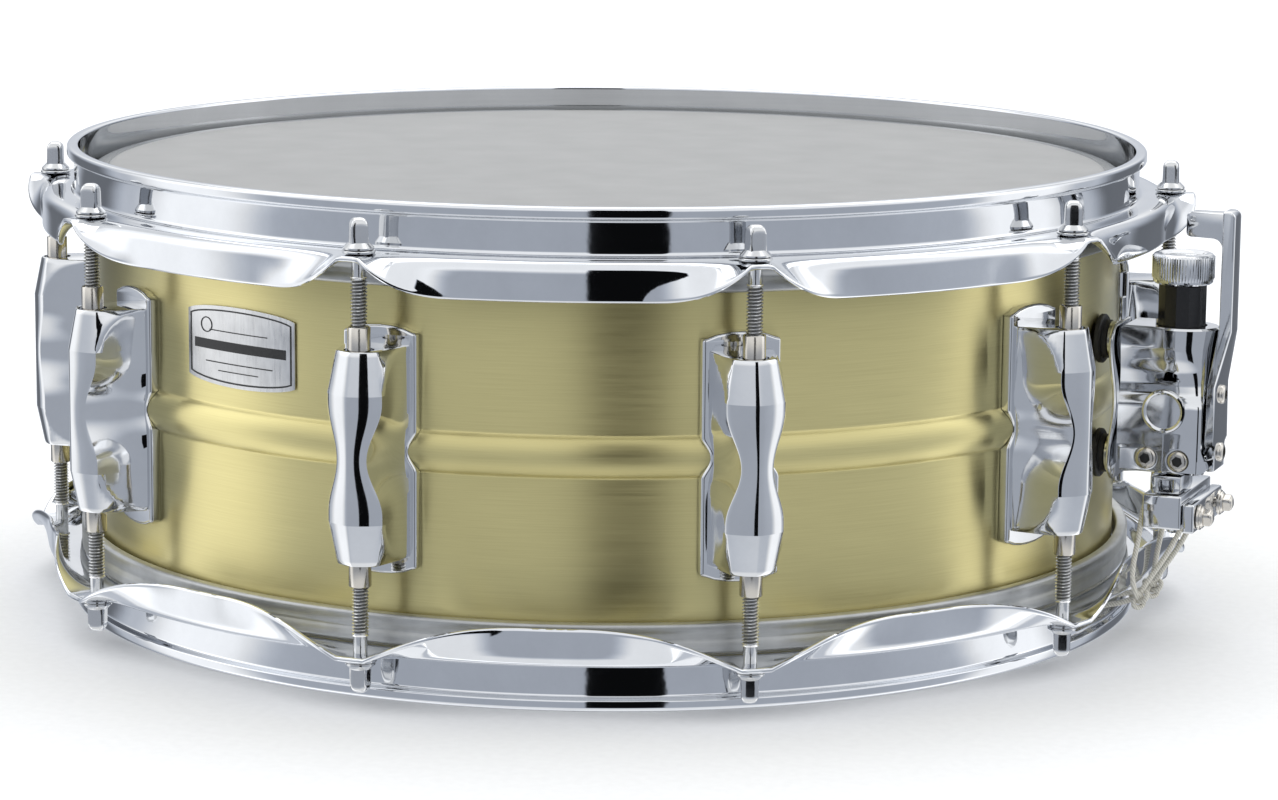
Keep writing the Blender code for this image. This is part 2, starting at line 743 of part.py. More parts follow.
def smooth_route(route, pieces=2):
    """Points along a Catmull-Rom curve through the route."""
    ends = [route[0]] + list(route) + [route[-1]]
    points = []
    for index in range(len(route) - 1):
        a, b, c, d = (place(*ends[index + step]) for step in range(4))
        for part in range(pieces):
            t = part / pieces
            points.append(0.5 * (2.0 * b + (c - a) * t + (2.0 * a - 5.0 * b + 4.0 * c - d) * t ** 2
                                 + (3.0 * b - 3.0 * c + d - a) * t ** 3))
    points.append(place(*route[-1]))
    return points


def make_cords():
    strainer = [(211.0, -40.4), (205.5, -50.0), (199.8, -59.0), (196.6, -64.6), (191.0, -66.9),
                (184.0, -68.8), (176.0, -70.9), (165.5, -71.35)]
    butt = [(-192.0, -40.6), (-198.4, -50.0), (-199.0, -59.0), (-196.6, -64.6), (-191.0, -66.9),
            (-184.0, -68.8), (-176.0, -70.9), (-165.5, -71.35)]
    for name, sign in (("front", -1.0), ("back", 1.0)):
        y = sign * CORD_SPACING / 2.0
        cord(f"strainer_cord_{name}", [(x, y, z) for x, z in strainer])
        cord(f"butt_cord_{name}", [(x, y, z) for x, z in butt])


make_shell()
make_head("batter_head", 1.0, COATED)
make_head("snare_side_head", -1.0, CLEAR)
make_flesh_hoop("batter_flesh_hoop", 1.0)
make_flesh_hoop("snare_side_flesh_hoop", -1.0)
make_hoops()
make_lugs()
make_rods()
make_badge()
make_strainer_mounts()
make_housing()
make_lever()
make_knob_and_sleeve()
make_clamp()
make_butt()
make_wires()
make_cords()
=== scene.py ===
"""Looks of the snare drum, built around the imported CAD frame.

Design lengths are in millimetres; heights are measured from the shell's mid-plane, which comes from
the frame.  The drum's axis is Z, the throw-off is on +X and the butt end on -X.
"""
import json
import math
import random
from math import atan2, copysign, cos, hypot, pi, radians, sin, sqrt, tau

import bmesh
import bpy
import numpy as np
from mathutils import Matrix, Vector


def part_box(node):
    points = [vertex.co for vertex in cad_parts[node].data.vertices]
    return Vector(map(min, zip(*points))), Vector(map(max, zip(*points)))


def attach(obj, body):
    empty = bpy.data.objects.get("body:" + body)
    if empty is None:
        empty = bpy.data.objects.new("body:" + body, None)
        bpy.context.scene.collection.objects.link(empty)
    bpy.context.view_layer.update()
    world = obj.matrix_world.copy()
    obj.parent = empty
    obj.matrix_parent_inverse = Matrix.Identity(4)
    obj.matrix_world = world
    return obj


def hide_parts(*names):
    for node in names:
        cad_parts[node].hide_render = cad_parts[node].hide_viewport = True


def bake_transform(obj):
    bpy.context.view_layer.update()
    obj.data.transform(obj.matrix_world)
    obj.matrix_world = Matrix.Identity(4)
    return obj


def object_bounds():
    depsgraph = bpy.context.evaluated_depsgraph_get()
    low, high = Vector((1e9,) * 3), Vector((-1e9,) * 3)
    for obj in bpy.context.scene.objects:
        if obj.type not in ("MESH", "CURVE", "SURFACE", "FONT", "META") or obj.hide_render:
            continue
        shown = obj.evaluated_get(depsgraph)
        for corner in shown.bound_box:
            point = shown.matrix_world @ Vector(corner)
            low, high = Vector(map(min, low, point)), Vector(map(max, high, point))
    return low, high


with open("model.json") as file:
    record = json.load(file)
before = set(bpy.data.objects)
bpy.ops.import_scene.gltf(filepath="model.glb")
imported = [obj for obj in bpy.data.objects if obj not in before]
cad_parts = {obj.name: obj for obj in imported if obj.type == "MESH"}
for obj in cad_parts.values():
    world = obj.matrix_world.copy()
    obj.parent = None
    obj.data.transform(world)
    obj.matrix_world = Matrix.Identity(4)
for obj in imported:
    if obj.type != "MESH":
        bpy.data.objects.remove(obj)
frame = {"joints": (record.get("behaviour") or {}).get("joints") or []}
CAD_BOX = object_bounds()

MM = 0.001
MIDDLE = sum(corner.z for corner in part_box("shell")) / 2.0 / MM


def box_mm(node):
    """A CAD node's lowest and highest corners as design points."""
    return [(x / MM, y / MM, z / MM - MIDDLE) for x, y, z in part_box(node)]


def centre_mm(node):
    """The middle of a CAD node's box as a design point."""
    return [(low + high) / 2.0 for low, high in zip(*box_mm(node))]


HEAD_TOP = box_mm("batter_head")[1][2]
RODS = [joint["pos_m"] for joint in frame["joints"] if joint["child"].startswith("batter_tension_rod")]
ROD_CIRCLE = hypot(RODS[0][0], RODS[0][1]) / MM
LUG_ANGLES = [math.degrees(atan2(place[1], place[0])) for place in RODS]
SPINDLE_X = centre_mm("carriage_sleeve")[0]

# Shell, films and flesh hoops
SHELL_RADIUS = 178.0
SHELL_WALL = 1.2
BEARING_EDGE = 69.55
BEAD_HALF_HEIGHT = 6.5
BEAD_HEIGHT = 2.8
FLESH_TOP = 61.1
FLESH_BOTTOM = 51.5
FLESH_INNER = 179.4
FLESH_OUTER = 183.4
COATED_RADII = (171.2, 172.2)

# Counter hoops, and the gates that the cords pass through
SHEET = 1.6
WALL_OUTER = 184.0
LIP_OUTER = 186.4
LIP_TOP = 78.3
FLANGE_MIDDLE = 62.2
TONGUE_START = 188.0
TIP_RADIUS = 0.75
EAR_REACH = 14.7
SKIRT_REACH = 15.9
BEND_LENGTH = 5.2
BEND_START = 2.9
GATE_HALF_WIDTH = 32.0
GATE_LOW = 64.6
GATE_HIGH = 73.4
GATE_CORNER = 3.2

# Lugs
LUG_END = 33.4
LUG_BACK = 177.0
LUG_FRONT = 203.4
PLATE_FRONT = 181.2
PLATE_HALF_WIDTH = 12.5
PLATE_RIM = 2.1
CREASE_HEIGHT = 20.0
CREASE_HALF_WIDTH = 9.3
END_HALF_WIDTH = 7.0
SWELL_HEIGHT = 17.5
WAIST_HALF_WIDTH = 5.1
FLANK_HOLLOW = 0.7
FLANK_DRAW_IN = 1.6
NOTCH_HALF_HEIGHT = 6.4
NOTCH_DEPTH = 2.9
FRONT_POWER = 1.35

# Tension rods
THREAD_RADIUS = 2.75
THREAD_DEPTH = 0.80
THREAD_PITCH = 1.06
THREAD_SPAN = (23.0, 56.0)

# Badge
BADGE_AZIMUTH = -108.0
BADGE_BACK = 178.25
BADGE_FRONT = 178.75
INK_BACK = 178.7

# Throw-off and butt end
BLOCK_HALF = 10.8
BLOCK_TOP = 0.6
NOSE_LEAN = 2.2
MOUNT_HEIGHTS = (("upper", 20.5), ("lower", -18.2))
SCREW_PLACES = ((198.0, -16.9), (208.9, -17.3))
EMBLEM_PLACE = (203.7, -0.8)
BACK_PLATE_FRONT = 188.2
CLAMP_HALF_WIDTH = 20.0
CLAMP_FOOT = -38.3
SCREW_HEAD_REACH = 5.1
TO_X = Matrix.Rotation(radians(90.0), 4, "Y")

# Snare wires, cords and knots
STRANDS = 20
STRAND_PITCH = 2.05
STRAND_TURNS = 150
STRAND_SIDES = 7
COIL_RADIUS = 0.62
CORD_RADIUS = 0.9
CORD_OFFSET = 9.0
KNOT_SIZE = 1.088
KNOT_DEPTH = 1.156

# Camera and light: angles in degrees, distances in metres
VIEW_AZIMUTH = -67.27
VIEW_ELEVATION = 9.65
VIEW_DISTANCE = 1.380
VIEW_ROLL = 0.477
FOCAL_LENGTH = 110.56
AIM_RIGHT = 0.01164
AIM_DOWN = 0.01382
CARD_AZIMUTHS = (-3.8, 12.8)
CARD_HEIGHTS = (-0.46, 0.62)
LEFT_STRIP = (-112.0, -80.0)
RIGHT_STRIP = (84.0, 110.0)
FLAG_AZIMUTHS = (128.0, 156.0)
SOFTBOX_ELEVATION = 66.0
SOFTBOX_DISTANCE = 2.2
SOFTBOX_SIZE = (2.4, 1.6)
SOFTBOX_POWER = 16.0

# ---- mesh helpers


def at(x, y, z):
    """A design point in metres in the row's frame."""
    return (x * MM, y * MM, (z + MIDDLE) * MM)


def around(radius, degrees, z):
    angle = radians(degrees)
    return at(radius * cos(angle), radius * sin(angle), z)


def show(name, data):
    """A new object in the scene."""
    made = bpy.data.objects.new(name, data)
    bpy.context.scene.collection.objects.link(made)
    return made


def make_object(name, vertices, faces, finish):
    mesh = bpy.data.meshes.new(name)
    mesh.from_pydata([tuple(vertex) for vertex in vertices], [], faces)
    mesh.materials.append(finish)
    shape = bmesh.new()
    shape.from_mesh(mesh)
    bmesh.ops.recalc_face_normals(shape, faces=shape.faces)
    shape.to_mesh(mesh)
    shape.free()
    return show(name, mesh)


def grid(name, rows, finish, ring=False):
    """A closed surface through loops of equal length, with capped ends or, as a ring, closed on itself."""
    count = len(rows[0])
    vertices = [point for row in rows for point in row]
    faces = []
    last = len(rows) if ring else len(rows) - 1
    for row in range(last):
        following = (row + 1) % len(rows)
        for index in range(count):
            after = (index + 1) % count
            faces.append((row * count + index, row * count + after,
                          following * count + after, following * count + index))
    if not ring:
        faces.append(tuple(range(count)))
        faces.append(tuple(range((len(rows) - 1) * count, len(rows) * count)))
    return make_object(name, vertices, faces, finish)


def turn_angles(steps):
    return np.linspace(0.0, tau, steps, endpoint=False)


def lathe(name, profile, finish, steps=256, centre=(0.0, 0.0), closed=False):
    """A turned solid from (radius, height) points; an open profile starts and ends on the axis."""
    x0, y0 = centre
    if closed:
        rows = [[at(x0 + r * cos(a), y0 + r * sin(a), z) for r, z in profile]
                for a in turn_angles(steps)]
        return grid(name, rows, finish, ring=True)
    vertices = [at(x0, y0, profile[0][1])]
    inner = profile[1:-1]
    for radius, height in inner:
        for step in range(steps):
            angle = tau * step / steps
            vertices.append(at(x0 + radius * cos(angle), y0 + radius * sin(angle), height))
    vertices.append(at(x0, y0, profile[-1][1]))
    faces = []
    for step in range(steps):
        after = (step + 1) % steps
        faces.append((0, 1 + step, 1 + after))
        for row in range(len(inner) - 1):
            base = 1 + row * steps
            faces.append((base + step, base + steps + step, base + steps + after, base + after))
        base = 1 + (len(inner) - 1) * steps
        faces.append((len(vertices) - 1, base + after, base + step))
    return make_object(name, vertices, faces, finish)


def prism(name, outline, low, high, finish, axis="y"):
    """An outline extruded along an axis: (x, z) points along y, or (y, z) points along x."""
    rows = []
    for depth in (low, high):
        if axis == "y":
            rows.append([at(a, depth, b) for a, b in outline])
        else:
            rows.append([at(depth, a, b) for a, b in outline])
    return grid(name, rows, finish)


def block(name, low, high, finish):
    outline = [(low[0], low[2]), (high[0], low[2]), (high[0], high[2]), (low[0], high[2])]
    return prism(name, outline, low[1], high[1], finish)


def rod(name, start, end, radius, finish, sides=32):
    """A plain cylinder between two design points."""
    return tube(name, [at(*start), at(*end)], radius, finish, sides)


def tube(name, points, radius, finish, sides=10):
    """A round tube along metre points, with a steady frame along the way."""
    path = [Vector(point) for point in points]
    normal = (path[1] - path[0]).orthogonal().normalized()
    rows = []
    for index, point in enumerate(path):
        ahead = path[min(index + 1, len(path) - 1)] - path[max(index - 1, 0)]
        ahead.normalize()
        normal = (normal - ahead * normal.dot(ahead)).normalized()
        other = ahead.cross(normal)
        rows.append([tuple(point + (normal * cos(a) + other * sin(a)) * radius * MM)
                     for a in turn_angles(sides)])
    return grid(name, rows, finish)


def apply_modifiers(piece):
    bpy.context.view_layer.update()
    depsgraph = bpy.context.evaluated_depsgraph_get()
    mesh = bpy.data.meshes.new_from_object(piece.evaluated_get(depsgraph))
    piece.modifiers.clear()
    piece.data = mesh
    return piece


def bevel(piece, width, segments=3, angle=30.0):
    """Round the piece's sharp edges."""
    step = piece.modifiers.new("round", "BEVEL")
    step.width = width * MM
    step.segments = segments
    step.limit_method = "ANGLE"
    step.angle_limit = radians(angle)
    step.harden_normals = False
    return apply_modifiers(piece)


def combine(piece, others, operation):
    for other in others:
        step = piece.modifiers.new("combine", "BOOLEAN")
        step.operation = operation
        step.object = other
        step.solver = "EXACT"
        apply_modifiers(piece)
        bpy.data.objects.remove(other, do_unlink=True)
    return piece


def cut(piece, *others):
    return combine(piece, others, "DIFFERENCE")


def smooth(piece, degrees=35.0):
    piece.data.shade_smooth()
    piece.data.set_sharp_from_angle(angle=radians(degrees))
    return piece


def merge(name, pieces):
    """Several meshes become one object, each kept as its own closed shell."""
    shape = bmesh.new()
    finishes = []
    for part in pieces:
        for finish in part.data.materials:
            if finish not in finishes:
                finishes.append(finish)
        start = len(shape.faces)
        shape.from_mesh(part.data)
        shape.faces.ensure_lookup_table()
        for face in shape.faces[start:]:
            face.material_index = finishes.index(part.data.materials[face.material_index])
    mesh = bpy.data.meshes.new(name)
    shape.to_mesh(mesh)
    shape.free()
    for finish in finishes:
        mesh.materials.append(finish)
    for part in pieces:
        bpy.data.objects.remove(part, do_unlink=True)
    return show(name, mesh)


def turned(name, profile, finish, steps=40, closed=False):
    """A turned solid about its own origin."""
    made = lathe(name, profile, finish, steps, closed=closed)
    made.data.transform(Matrix.Translation((0.0, 0.0, -MIDDLE * MM)))
    return made


def put(piece, x, y, z, turn):
    """Turn a piece built about its own origin, and move it to a design point."""
    piece.data.transform(Matrix.Translation(at(x, y, z)) @ turn)
    return piece


def fasten(piece, body, slot, *nodes):
    """Fasten a piece to its body and hide the CAD nodes it stands for."""
    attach(piece, body)
    if nodes:
        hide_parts(*nodes)
    return piece


def unit(value):
    """A share held between 0 and 1."""
    return min(max(value, 0.0), 1.0)


def arc(centre, radius, start, end, steps):
    """Points of an arc in a profile plane, from one angle in degrees to another."""
    return [(centre[0] + radius * cos(radians(a)), centre[1] + radius * sin(radians(a)))
            for a in np.linspace(start, end, steps)]


def route(points, pieces=6):
    """A smooth Catmull-Rom curve through design points, in metres."""
    ends = [points[0]] + list(points) + [points[-1]]
    path = []
    for index in range(len(points) - 1):
        a, b, c, d = (Vector(at(*ends[index + step])) for step in range(4))
        for part in range(pieces):
            t = part / pieces
            path.append(0.5 * (2.0 * b + (c - a) * t + (2.0 * a - 5.0 * b + 4.0 * c - d) * t ** 2
                               + (3.0 * b - 3.0 * c + d - a) * t ** 3))
    path.append(Vector(at(*points[-1])))
    return path


# ---- materials


class Nodes:
    """A short way to build the node tree of a material, or of the world."""

    def __init__(self, name, world=None):
        self.material = world or bpy.data.materials.new(name)
        self.material.use_nodes = True
        self.tree = self.material.node_tree
        self.shader = self.tree.nodes["Background" if world else "Principled BSDF"]

    def add(self, kind, **settings):
        node = self.tree.nodes.new(kind)
        for key, value in settings.items():
            if key in node.inputs:
                node.inputs[key].default_value = value
            else:
                setattr(node, key, value)
        return node

    def link(self, source, target):
        self.tree.links.new(source, target)

    def set(self, **values):
        for key, value in values.items():
            name = key.replace("_", " ")
            if isinstance(value, tuple):
                value = (*value, 1.0)
            self.shader.inputs[name].default_value = value
        return self

    def position(self, scale):
        """Object coordinates in metres, stretched by one scale or by a scale for each axis."""
        source = self.add("ShaderNodeTexCoord")
        scale = scale if isinstance(scale, tuple) else (scale, scale, scale)
        mapping = self.add("ShaderNodeMapping", Scale=scale)
        self.link(source.outputs["Object"], mapping.inputs["Vector"])
        return mapping.outputs["Vector"]

    def noise(self, scale, detail=2.0, roughness=0.5):
        node = self.add("ShaderNodeTexNoise", Scale=1.0, Detail=detail, Roughness=roughness)
        self.link(self.position(scale), node.inputs["Vector"])
        return node.outputs["Fac"]

    def spread(self, source, low, high, start=0.3, end=0.7, curve="LINEAR"):
        node = self.add("ShaderNodeMapRange", interpolation_type=curve)
        self.link(source, node.inputs["Value"])
        for name, value in zip(("From Min", "From Max", "To Min", "To Max"), (start, end, low, high)):
            node.inputs[name].default_value = value
        return node.outputs["Result"]

    def ramp(self, source, stops):
        node = self.add("ShaderNodeValToRGB")
        elements = node.color_ramp.elements
        while len(elements) < len(stops):
            elements.new(0.5)
        for element, (position, colour) in zip(elements, stops):
            element.position = position
            element.color = (*colour, 1.0)
        self.link(source, node.inputs["Fac"])
        return node.outputs["Color"]

    def colour(self, source, stops):
        self.link(self.ramp(source, stops), self.shader.inputs["Base Color"])

    def gloss(self, source, low, high, start=0.3, end=0.7):
        self.link(self.spread(source, low, high, start, end), self.shader.inputs["Roughness"])

    def mix(self, factor, first, second):
        """Two grey patterns mixed by a fixed factor."""
        node = self.add("ShaderNodeMix", data_type="FLOAT")
        node.inputs[0].default_value = factor
        self.link(first, node.inputs[2])
        self.link(second, node.inputs[3])
        return node.outputs[0]

    def reach(self):
        """Distance from the object's own Z axis, in metres."""
        split = self.add("ShaderNodeSeparateXYZ")
        self.link(self.position(1.0), split.inputs["Vector"])
        flat = self.add("ShaderNodeCombineXYZ")
        for axis in "XY":
            self.link(split.outputs[axis], flat.inputs[axis])
        length = self.add("ShaderNodeVectorMath", operation="LENGTH")
        self.link(flat.outputs["Vector"], length.inputs[0])
        return length.outputs["Value"]

    def bump(self, height, strength, distance=0.0002):
        node = self.add("ShaderNodeBump", Strength=strength, Distance=distance)
        self.link(height, node.inputs["Height"])
        self.link(node.outputs["Normal"], self.shader.inputs["Normal"])


def brushed_brass():
    """Brass brushed round the shell: fine level lines, faint cloudy tarnish, clear lacquer."""
    made = Nodes("brushed_brass")
    made.set(Metallic=1.0, Anisotropic=0.85, Anisotropic_Rotation=0.25)
    made.set(Coat_Weight=0.06, Coat_Roughness=0.10)
    lines = made.noise((40.0, 40.0, 3200.0), 3.0, 0.6)
    clouds = made.noise((9.0, 9.0, 30.0))
    tarnish = made.mix(0.35, lines, clouds)
    made.colour(tarnish, [(0.35, (0.690, 0.610, 0.290)), (0.65, (0.760, 0.680, 0.335))])
    made.gloss(lines, 0.31, 0.37)
    made.bump(lines, 0.05, 0.0001)
    tangent = made.add("ShaderNodeTangent", direction_type="RADIAL", axis="Z")
    made.link(tangent.outputs["Tangent"], made.shader.inputs["Tangent"])
    return made.material


def plated(name, colour, low, high):
    """Polished plate: a hint of orange peel, faint smears in the gloss and a slightly uneven tone."""
    made = Nodes(name)
    made.set(Metallic=1.0)
    smears = made.noise(60.0, 4.0, 0.65)
    made.colour(smears, [(0.3, tuple(channel * 0.93 for channel in colour)), (0.7, colour)])
    made.gloss(smears, low, high)
    made.bump(made.noise(420.0, 1.0), 0.02)
    return made.material


def threaded_steel():
    """Plated screw thread: bright crests, and dull grooves darkened with painted shade."""
    made = Nodes("threaded_steel")
    made.set(Metallic=1.0)
    root = (THREAD_RADIUS - THREAD_DEPTH) * MM
    depth = made.spread(made.reach(), 0.0, 1.0, root, THREAD_RADIUS * MM)
    # Painted shade: the colour darkens from the crests down to the groove roots.
    made.colour(depth, [(0.05, (0.24, 0.24, 0.23)), (0.60, (0.80, 0.80, 0.80))])
    made.gloss(depth, 0.50, 0.14, 0.2, 0.9)
    made.bump(made.noise(300.0), 0.03, 0.0001)
    return made.material


def drawn_metal(name, colour, low, high, scale):
    """Dull metal with draw marks along its length."""
    made = Nodes(name)
    made.set(Metallic=1.0)
    marks = made.noise(scale, 3.0, 0.6)
    darker = tuple(channel * 0.72 for channel in colour)
    made.colour(made.mix(0.4, marks, made.noise(180.0, 3.0)), [(0.3, darker), (0.7, colour)])
    made.gloss(marks, low, high)
    made.bump(marks, 0.12)
    return made.material


def coated_film():
    """Rough white coating sprayed on the film, with an uncoated clear band near the hoop."""
    made = Nodes("coated_film")
    made.set(Specular_IOR_Level=0.35)
    grain = made.noise(2600.0, 3.0, 0.7)
    mottled = made.mix(0.5, grain, made.noise(45.0, 3.0))
    coated = made.ramp(mottled, [(0.30, (0.300, 0.300, 0.297)), (0.70, (0.370, 0.370, 0.366))])
    edge = made.spread(made.reach(), 0.0, 1.0, *(radius * MM for radius in COATED_RADII))
    whole = made.add("ShaderNodeMix", data_type="RGBA")
    made.link(edge, whole.inputs[0])
    made.link(coated, whole.inputs[6])
    whole.inputs[7].default_value = (0.20, 0.205, 0.202, 1.0)
    made.link(whole.outputs[2], made.shader.inputs["Base Color"])
    made.gloss(edge, 0.62, 0.22, 0.0, 1.0)
    made.bump(grain, 0.25)
    return made.material


def clear_film():
    """Clear film with a faint haze."""
    made = Nodes("clear_film")
    made.set(Alpha=0.42, Specular_IOR_Level=0.6)
    haze = made.noise(30.0, 4.0)
    made.colour(haze, [(0.3, (0.74, 0.75, 0.73)), (0.7, (0.86, 0.87, 0.85))])
    made.gloss(haze, 0.10, 0.24)
    made.bump(haze, 0.04, 0.0004)
    return made.material


def moulded(name, dark, light, low, high, strength):
    """Rubber, plastic or ink with a fine grain between a dark and a lighter grey."""
    made = Nodes(name)
    grain = made.noise(900.0, 3.0)
    made.colour(grain, [(0.3, dark), (0.7, light)])
    made.gloss(grain, low, high)
    made.bump(grain, strength)
    return made.material


def braided_cord():
    """White cord: a fine diagonal braid with grey shade between the strands."""
    made = Nodes("braided_cord")
    made.set(Sheen_Weight=0.3, Sheen_Roughness=0.5, Roughness=0.75)
    wave = made.add("ShaderNodeTexWave", Scale=520.0, Distortion=2.5, Detail=1.0, bands_direction="DIAGONAL")
    made.link(made.position(1.0), wave.inputs["Vector"])
    braid = wave.outputs["Fac"]
    made.colour(braid, [(0.1, (0.56, 0.54, 0.47)), (0.7, (0.80, 0.78, 0.70))])
    made.bump(braid, 0.35)
    return made.material


BRASS = brushed_brass()
CHROME = plated("hoop_chrome", (0.760, 0.775, 0.800), 0.025, 0.06)
LUG_CHROME = plated("lug_chrome", (0.760, 0.770, 0.785), 0.035, 0.08)
THREADED = threaded_steel()
ROD_CHROME = plated("rod_chrome", (0.700, 0.705, 0.710), 0.09, 0.18)
PLATED = plated("strainer_chrome", (0.750, 0.760, 0.775), 0.05, 0.11)
NICKEL = plated("sleeve_nickel", (0.640, 0.610, 0.560), 0.14, 0.24)
ALUMINIUM = drawn_metal("flesh_hoop_aluminium", (0.60, 0.61, 0.61), 0.38, 0.55, (30.0, 30.0, 900.0))
WIRE_STEEL = drawn_metal("wire_steel", (0.66, 0.66, 0.66), 0.18, 0.32, (200.0, 900.0, 900.0))
COATED = coated_film()
CLEAR = clear_film()
RUBBER = moulded("black_rubber", (0.010, 0.010, 0.010), (0.028, 0.028, 0.028), 0.50, 0.70, 0.2)
BLACK = moulded("black_plastic", (0.006, 0.006, 0.007), (0.012, 0.012, 0.013), 0.14, 0.24, 0.03)
# Badge print, also used for the dark inserts that paint shade in the screw sockets.
INK_AND_SHADE = moulded("badge_ink_and_socket_shade", (0.008, 0.008, 0.008), (0.020, 0.020, 0.020), 0.32, 0.45, 0.05)
BADGE_PLATE = drawn_metal("badge_plate", (0.80, 0.80, 0.80), 0.25, 0.38, (900.0, 900.0, 120.0))
CORD = braided_cord()

# ---- shell, heads and flesh hoops


def bead_profile(clearance):
    """The bead from its upper to its lower foot: an arched ridge with tight fillets."""
    foot = SHELL_RADIUS + clearance
    points = [(foot, BEAD_HALF_HEIGHT + 0.9), (foot, BEAD_HALF_HEIGHT + 0.4)]
    for step in range(-12, 13):
        share = step / 12.0
        lift = cos(pi / 2.0 * share) ** 0.6
        points.append((foot + 0.15 + (BEAD_HEIGHT - 0.15) * lift, -share * (BEAD_HALF_HEIGHT + clearance)))
    points += [(radius, -z) for radius, z in reversed(points[:2])]
    return points


def make_shell():
    """Thin tube: edges rolled in to the bearing edge and one rounded bead at mid-height."""
    upper = [(174.5, BEARING_EDGE), (175.5, 69.0), (176.6, 67.6), (177.4, 65.8), (177.85, 64.0)]
    upper += [(SHELL_RADIUS, z) for z in (62.0, 50.0, 35.0, 20.0, 10.0)]
    outer = upper + bead_profile(0.0) + [(r, -z) for r, z in reversed(upper)]
    inner = [(r - SHELL_WALL, z) for r, z in reversed(outer)]
    inner[0] = (173.6, -(BEARING_EDGE - 0.3))
    inner[-1] = (173.6, BEARING_EDGE - 0.3)
    shell = smooth(lathe("shell_tube", outer + inner, BRASS, closed=True), 50.0)
    fasten(shell, "root", "shell_brass", "shell")


def film_profile():
    """The film's top and the collar that turns down into the flesh hoop, as one thin solid."""
    top = [(0.0, HEAD_TOP)]
    top += [(float(r), HEAD_TOP) for r in (40, 80, 120, 150, 165, 171, 174)]
    collar = [(175.6, 70.05), (176.8, 69.75), (178.0, 69.0), (179.0, 67.9), (179.7, 66.5), (180.1, 65.0),
              (180.2, 63.4), (180.2, FLESH_TOP + 0.4)]
    under = [(r - 0.2, z - 0.2) for r, z in reversed(collar)]
    return top + collar + under + [(0.0, HEAD_TOP - 0.25)]


def make_heads():
    batter = lathe("batter_head_film", film_profile(), COATED, steps=192)
    fasten(smooth(batter, 60.0), "root", "coated_film", "batter_head")
    snare = lathe("snare_head_film", [(r, -z) for r, z in film_profile()], CLEAR, steps=192)
    fasten(smooth(snare, 60.0), "root", "clear_film", "snare_side_head")


def make_flesh_hoops():
    """Drawn aluminium channel that grips the film, with rounded corners and a crimp groove."""
    inner, outer, low, high = FLESH_INNER, FLESH_OUTER, FLESH_BOTTOM, FLESH_TOP
    profile = arc((inner + 0.8, high - 0.8), 0.8, 180, 90, 4)
    profile += arc((outer - 0.9, high - 0.9), 0.9, 90, 0, 5)
    profile += [(outer, 57.4), (outer - 0.35, 56.9), (outer - 0.35, 55.9), (outer, 55.4)]
    profile += arc((outer - 1.2, low + 1.2), 1.2, 0, -90, 6)
    profile += arc((inner + 0.8, low + 0.8), 0.8, -90, -180, 4)
    for side, name, node in ((1.0, "batter_flesh_ring", "batter_flesh_hoop"),
                             (-1.0, "snare_flesh_ring", "snare_side_flesh_hoop")):
        ring = lathe(name, [(r, side * z) for r, z in profile], ALUMINIUM, closed=True)
        fasten(smooth(ring, 40.0), "root", "flesh_hoop", node)


# ---- counter hoops


def tongue(fold):
    """Centreline of the sheet past the second flange as (radius, height, slope) points."""
    reach = EAR_REACH + (SKIRT_REACH - EAR_REACH) * sin(fold)
    stations = [0.0, 1.0, 2.0] + [BEND_START + BEND_LENGTH * step / 8.0 for step in range(9)]
    stations += [BEND_START + BEND_LENGTH + (reach - BEND_START - BEND_LENGTH) * share
                 for share in (0.25, 0.5, 0.75, 0.93)]
    points = []
    radius, height, last = TONGUE_START, FLANGE_MIDDLE, 0.0
    for station in stations + [reach]:
        middle = (station + last) / 2.0
        slope = fold * unit((middle - BEND_START) / BEND_LENGTH)
        radius += (station - last) * cos(slope)
        height -= (station - last) * sin(slope)
        points.append((radius, height, fold * unit((station - BEND_START) / BEND_LENGTH)))
        last = station
    return points


def hoop_section(fold):
    """Closed outline of the pressed sheet: rolled lip, wall, second flange, skirt or ear."""
    inner = WALL_OUTER - SHEET
    half = SHEET / 2.0
    middle = tongue(fold)
    upper = [(r + sin(slope) * half, z + cos(slope) * half) for r, z, slope in middle]
    lower = [(r - sin(slope) * half, z - cos(slope) * half) for r, z, slope in reversed(middle)]
    r, z, slope = middle[-1]
    turns = [radians(angle) - slope for angle in (60.0, 20.0, -20.0, -60.0)]
    tip = [(r + TIP_RADIUS * cos(turn), z + TIP_RADIUS * sin(turn)) for turn in turns]
    lip = [(inner, FLANGE_MIDDLE + 1.2), (inner, 70.0), (inner, LIP_TOP - 1.0)]
    lip += arc((inner + 0.9, LIP_TOP - 0.9), 0.9, 170, 95, 5)
    lip += [(inner + 1.6, LIP_TOP)]
    lip += arc((LIP_OUTER - 1.3, LIP_TOP - 1.3), 1.3, 90, 0, 6)
    lip += [(LIP_OUTER, LIP_TOP - 2.6)]
    lip += arc((LIP_OUTER - 0.8, LIP_TOP - 2.9), 0.8, -10, -80, 4)
    lip += arc((WALL_OUTER + 1.1, LIP_TOP - 4.9), 1.1, 100, 180, 4)
    lip += [(WALL_OUTER, 70.0)]
    lip += arc((WALL_OUTER + 1.5, FLANGE_MIDDLE + half + 1.5), 1.5, 180, 268, 6)
    foot = arc((inner + 1.6, FLANGE_MIDDLE - half + 1.6), 1.6, 265, 185, 5)
    return lip + upper + tip + lower + foot


def ear_fold(offset, flat_half_angle, skirt_half_angle, power):
    """Angle of the skirt at an angle from the nearest rod: flat at the ear, then turned down."""
    share = unit((abs(offset) - flat_half_angle) / (skirt_half_angle - flat_half_angle))
    return pi / 2.0 * (1.0 - (1.0 - share) ** power)


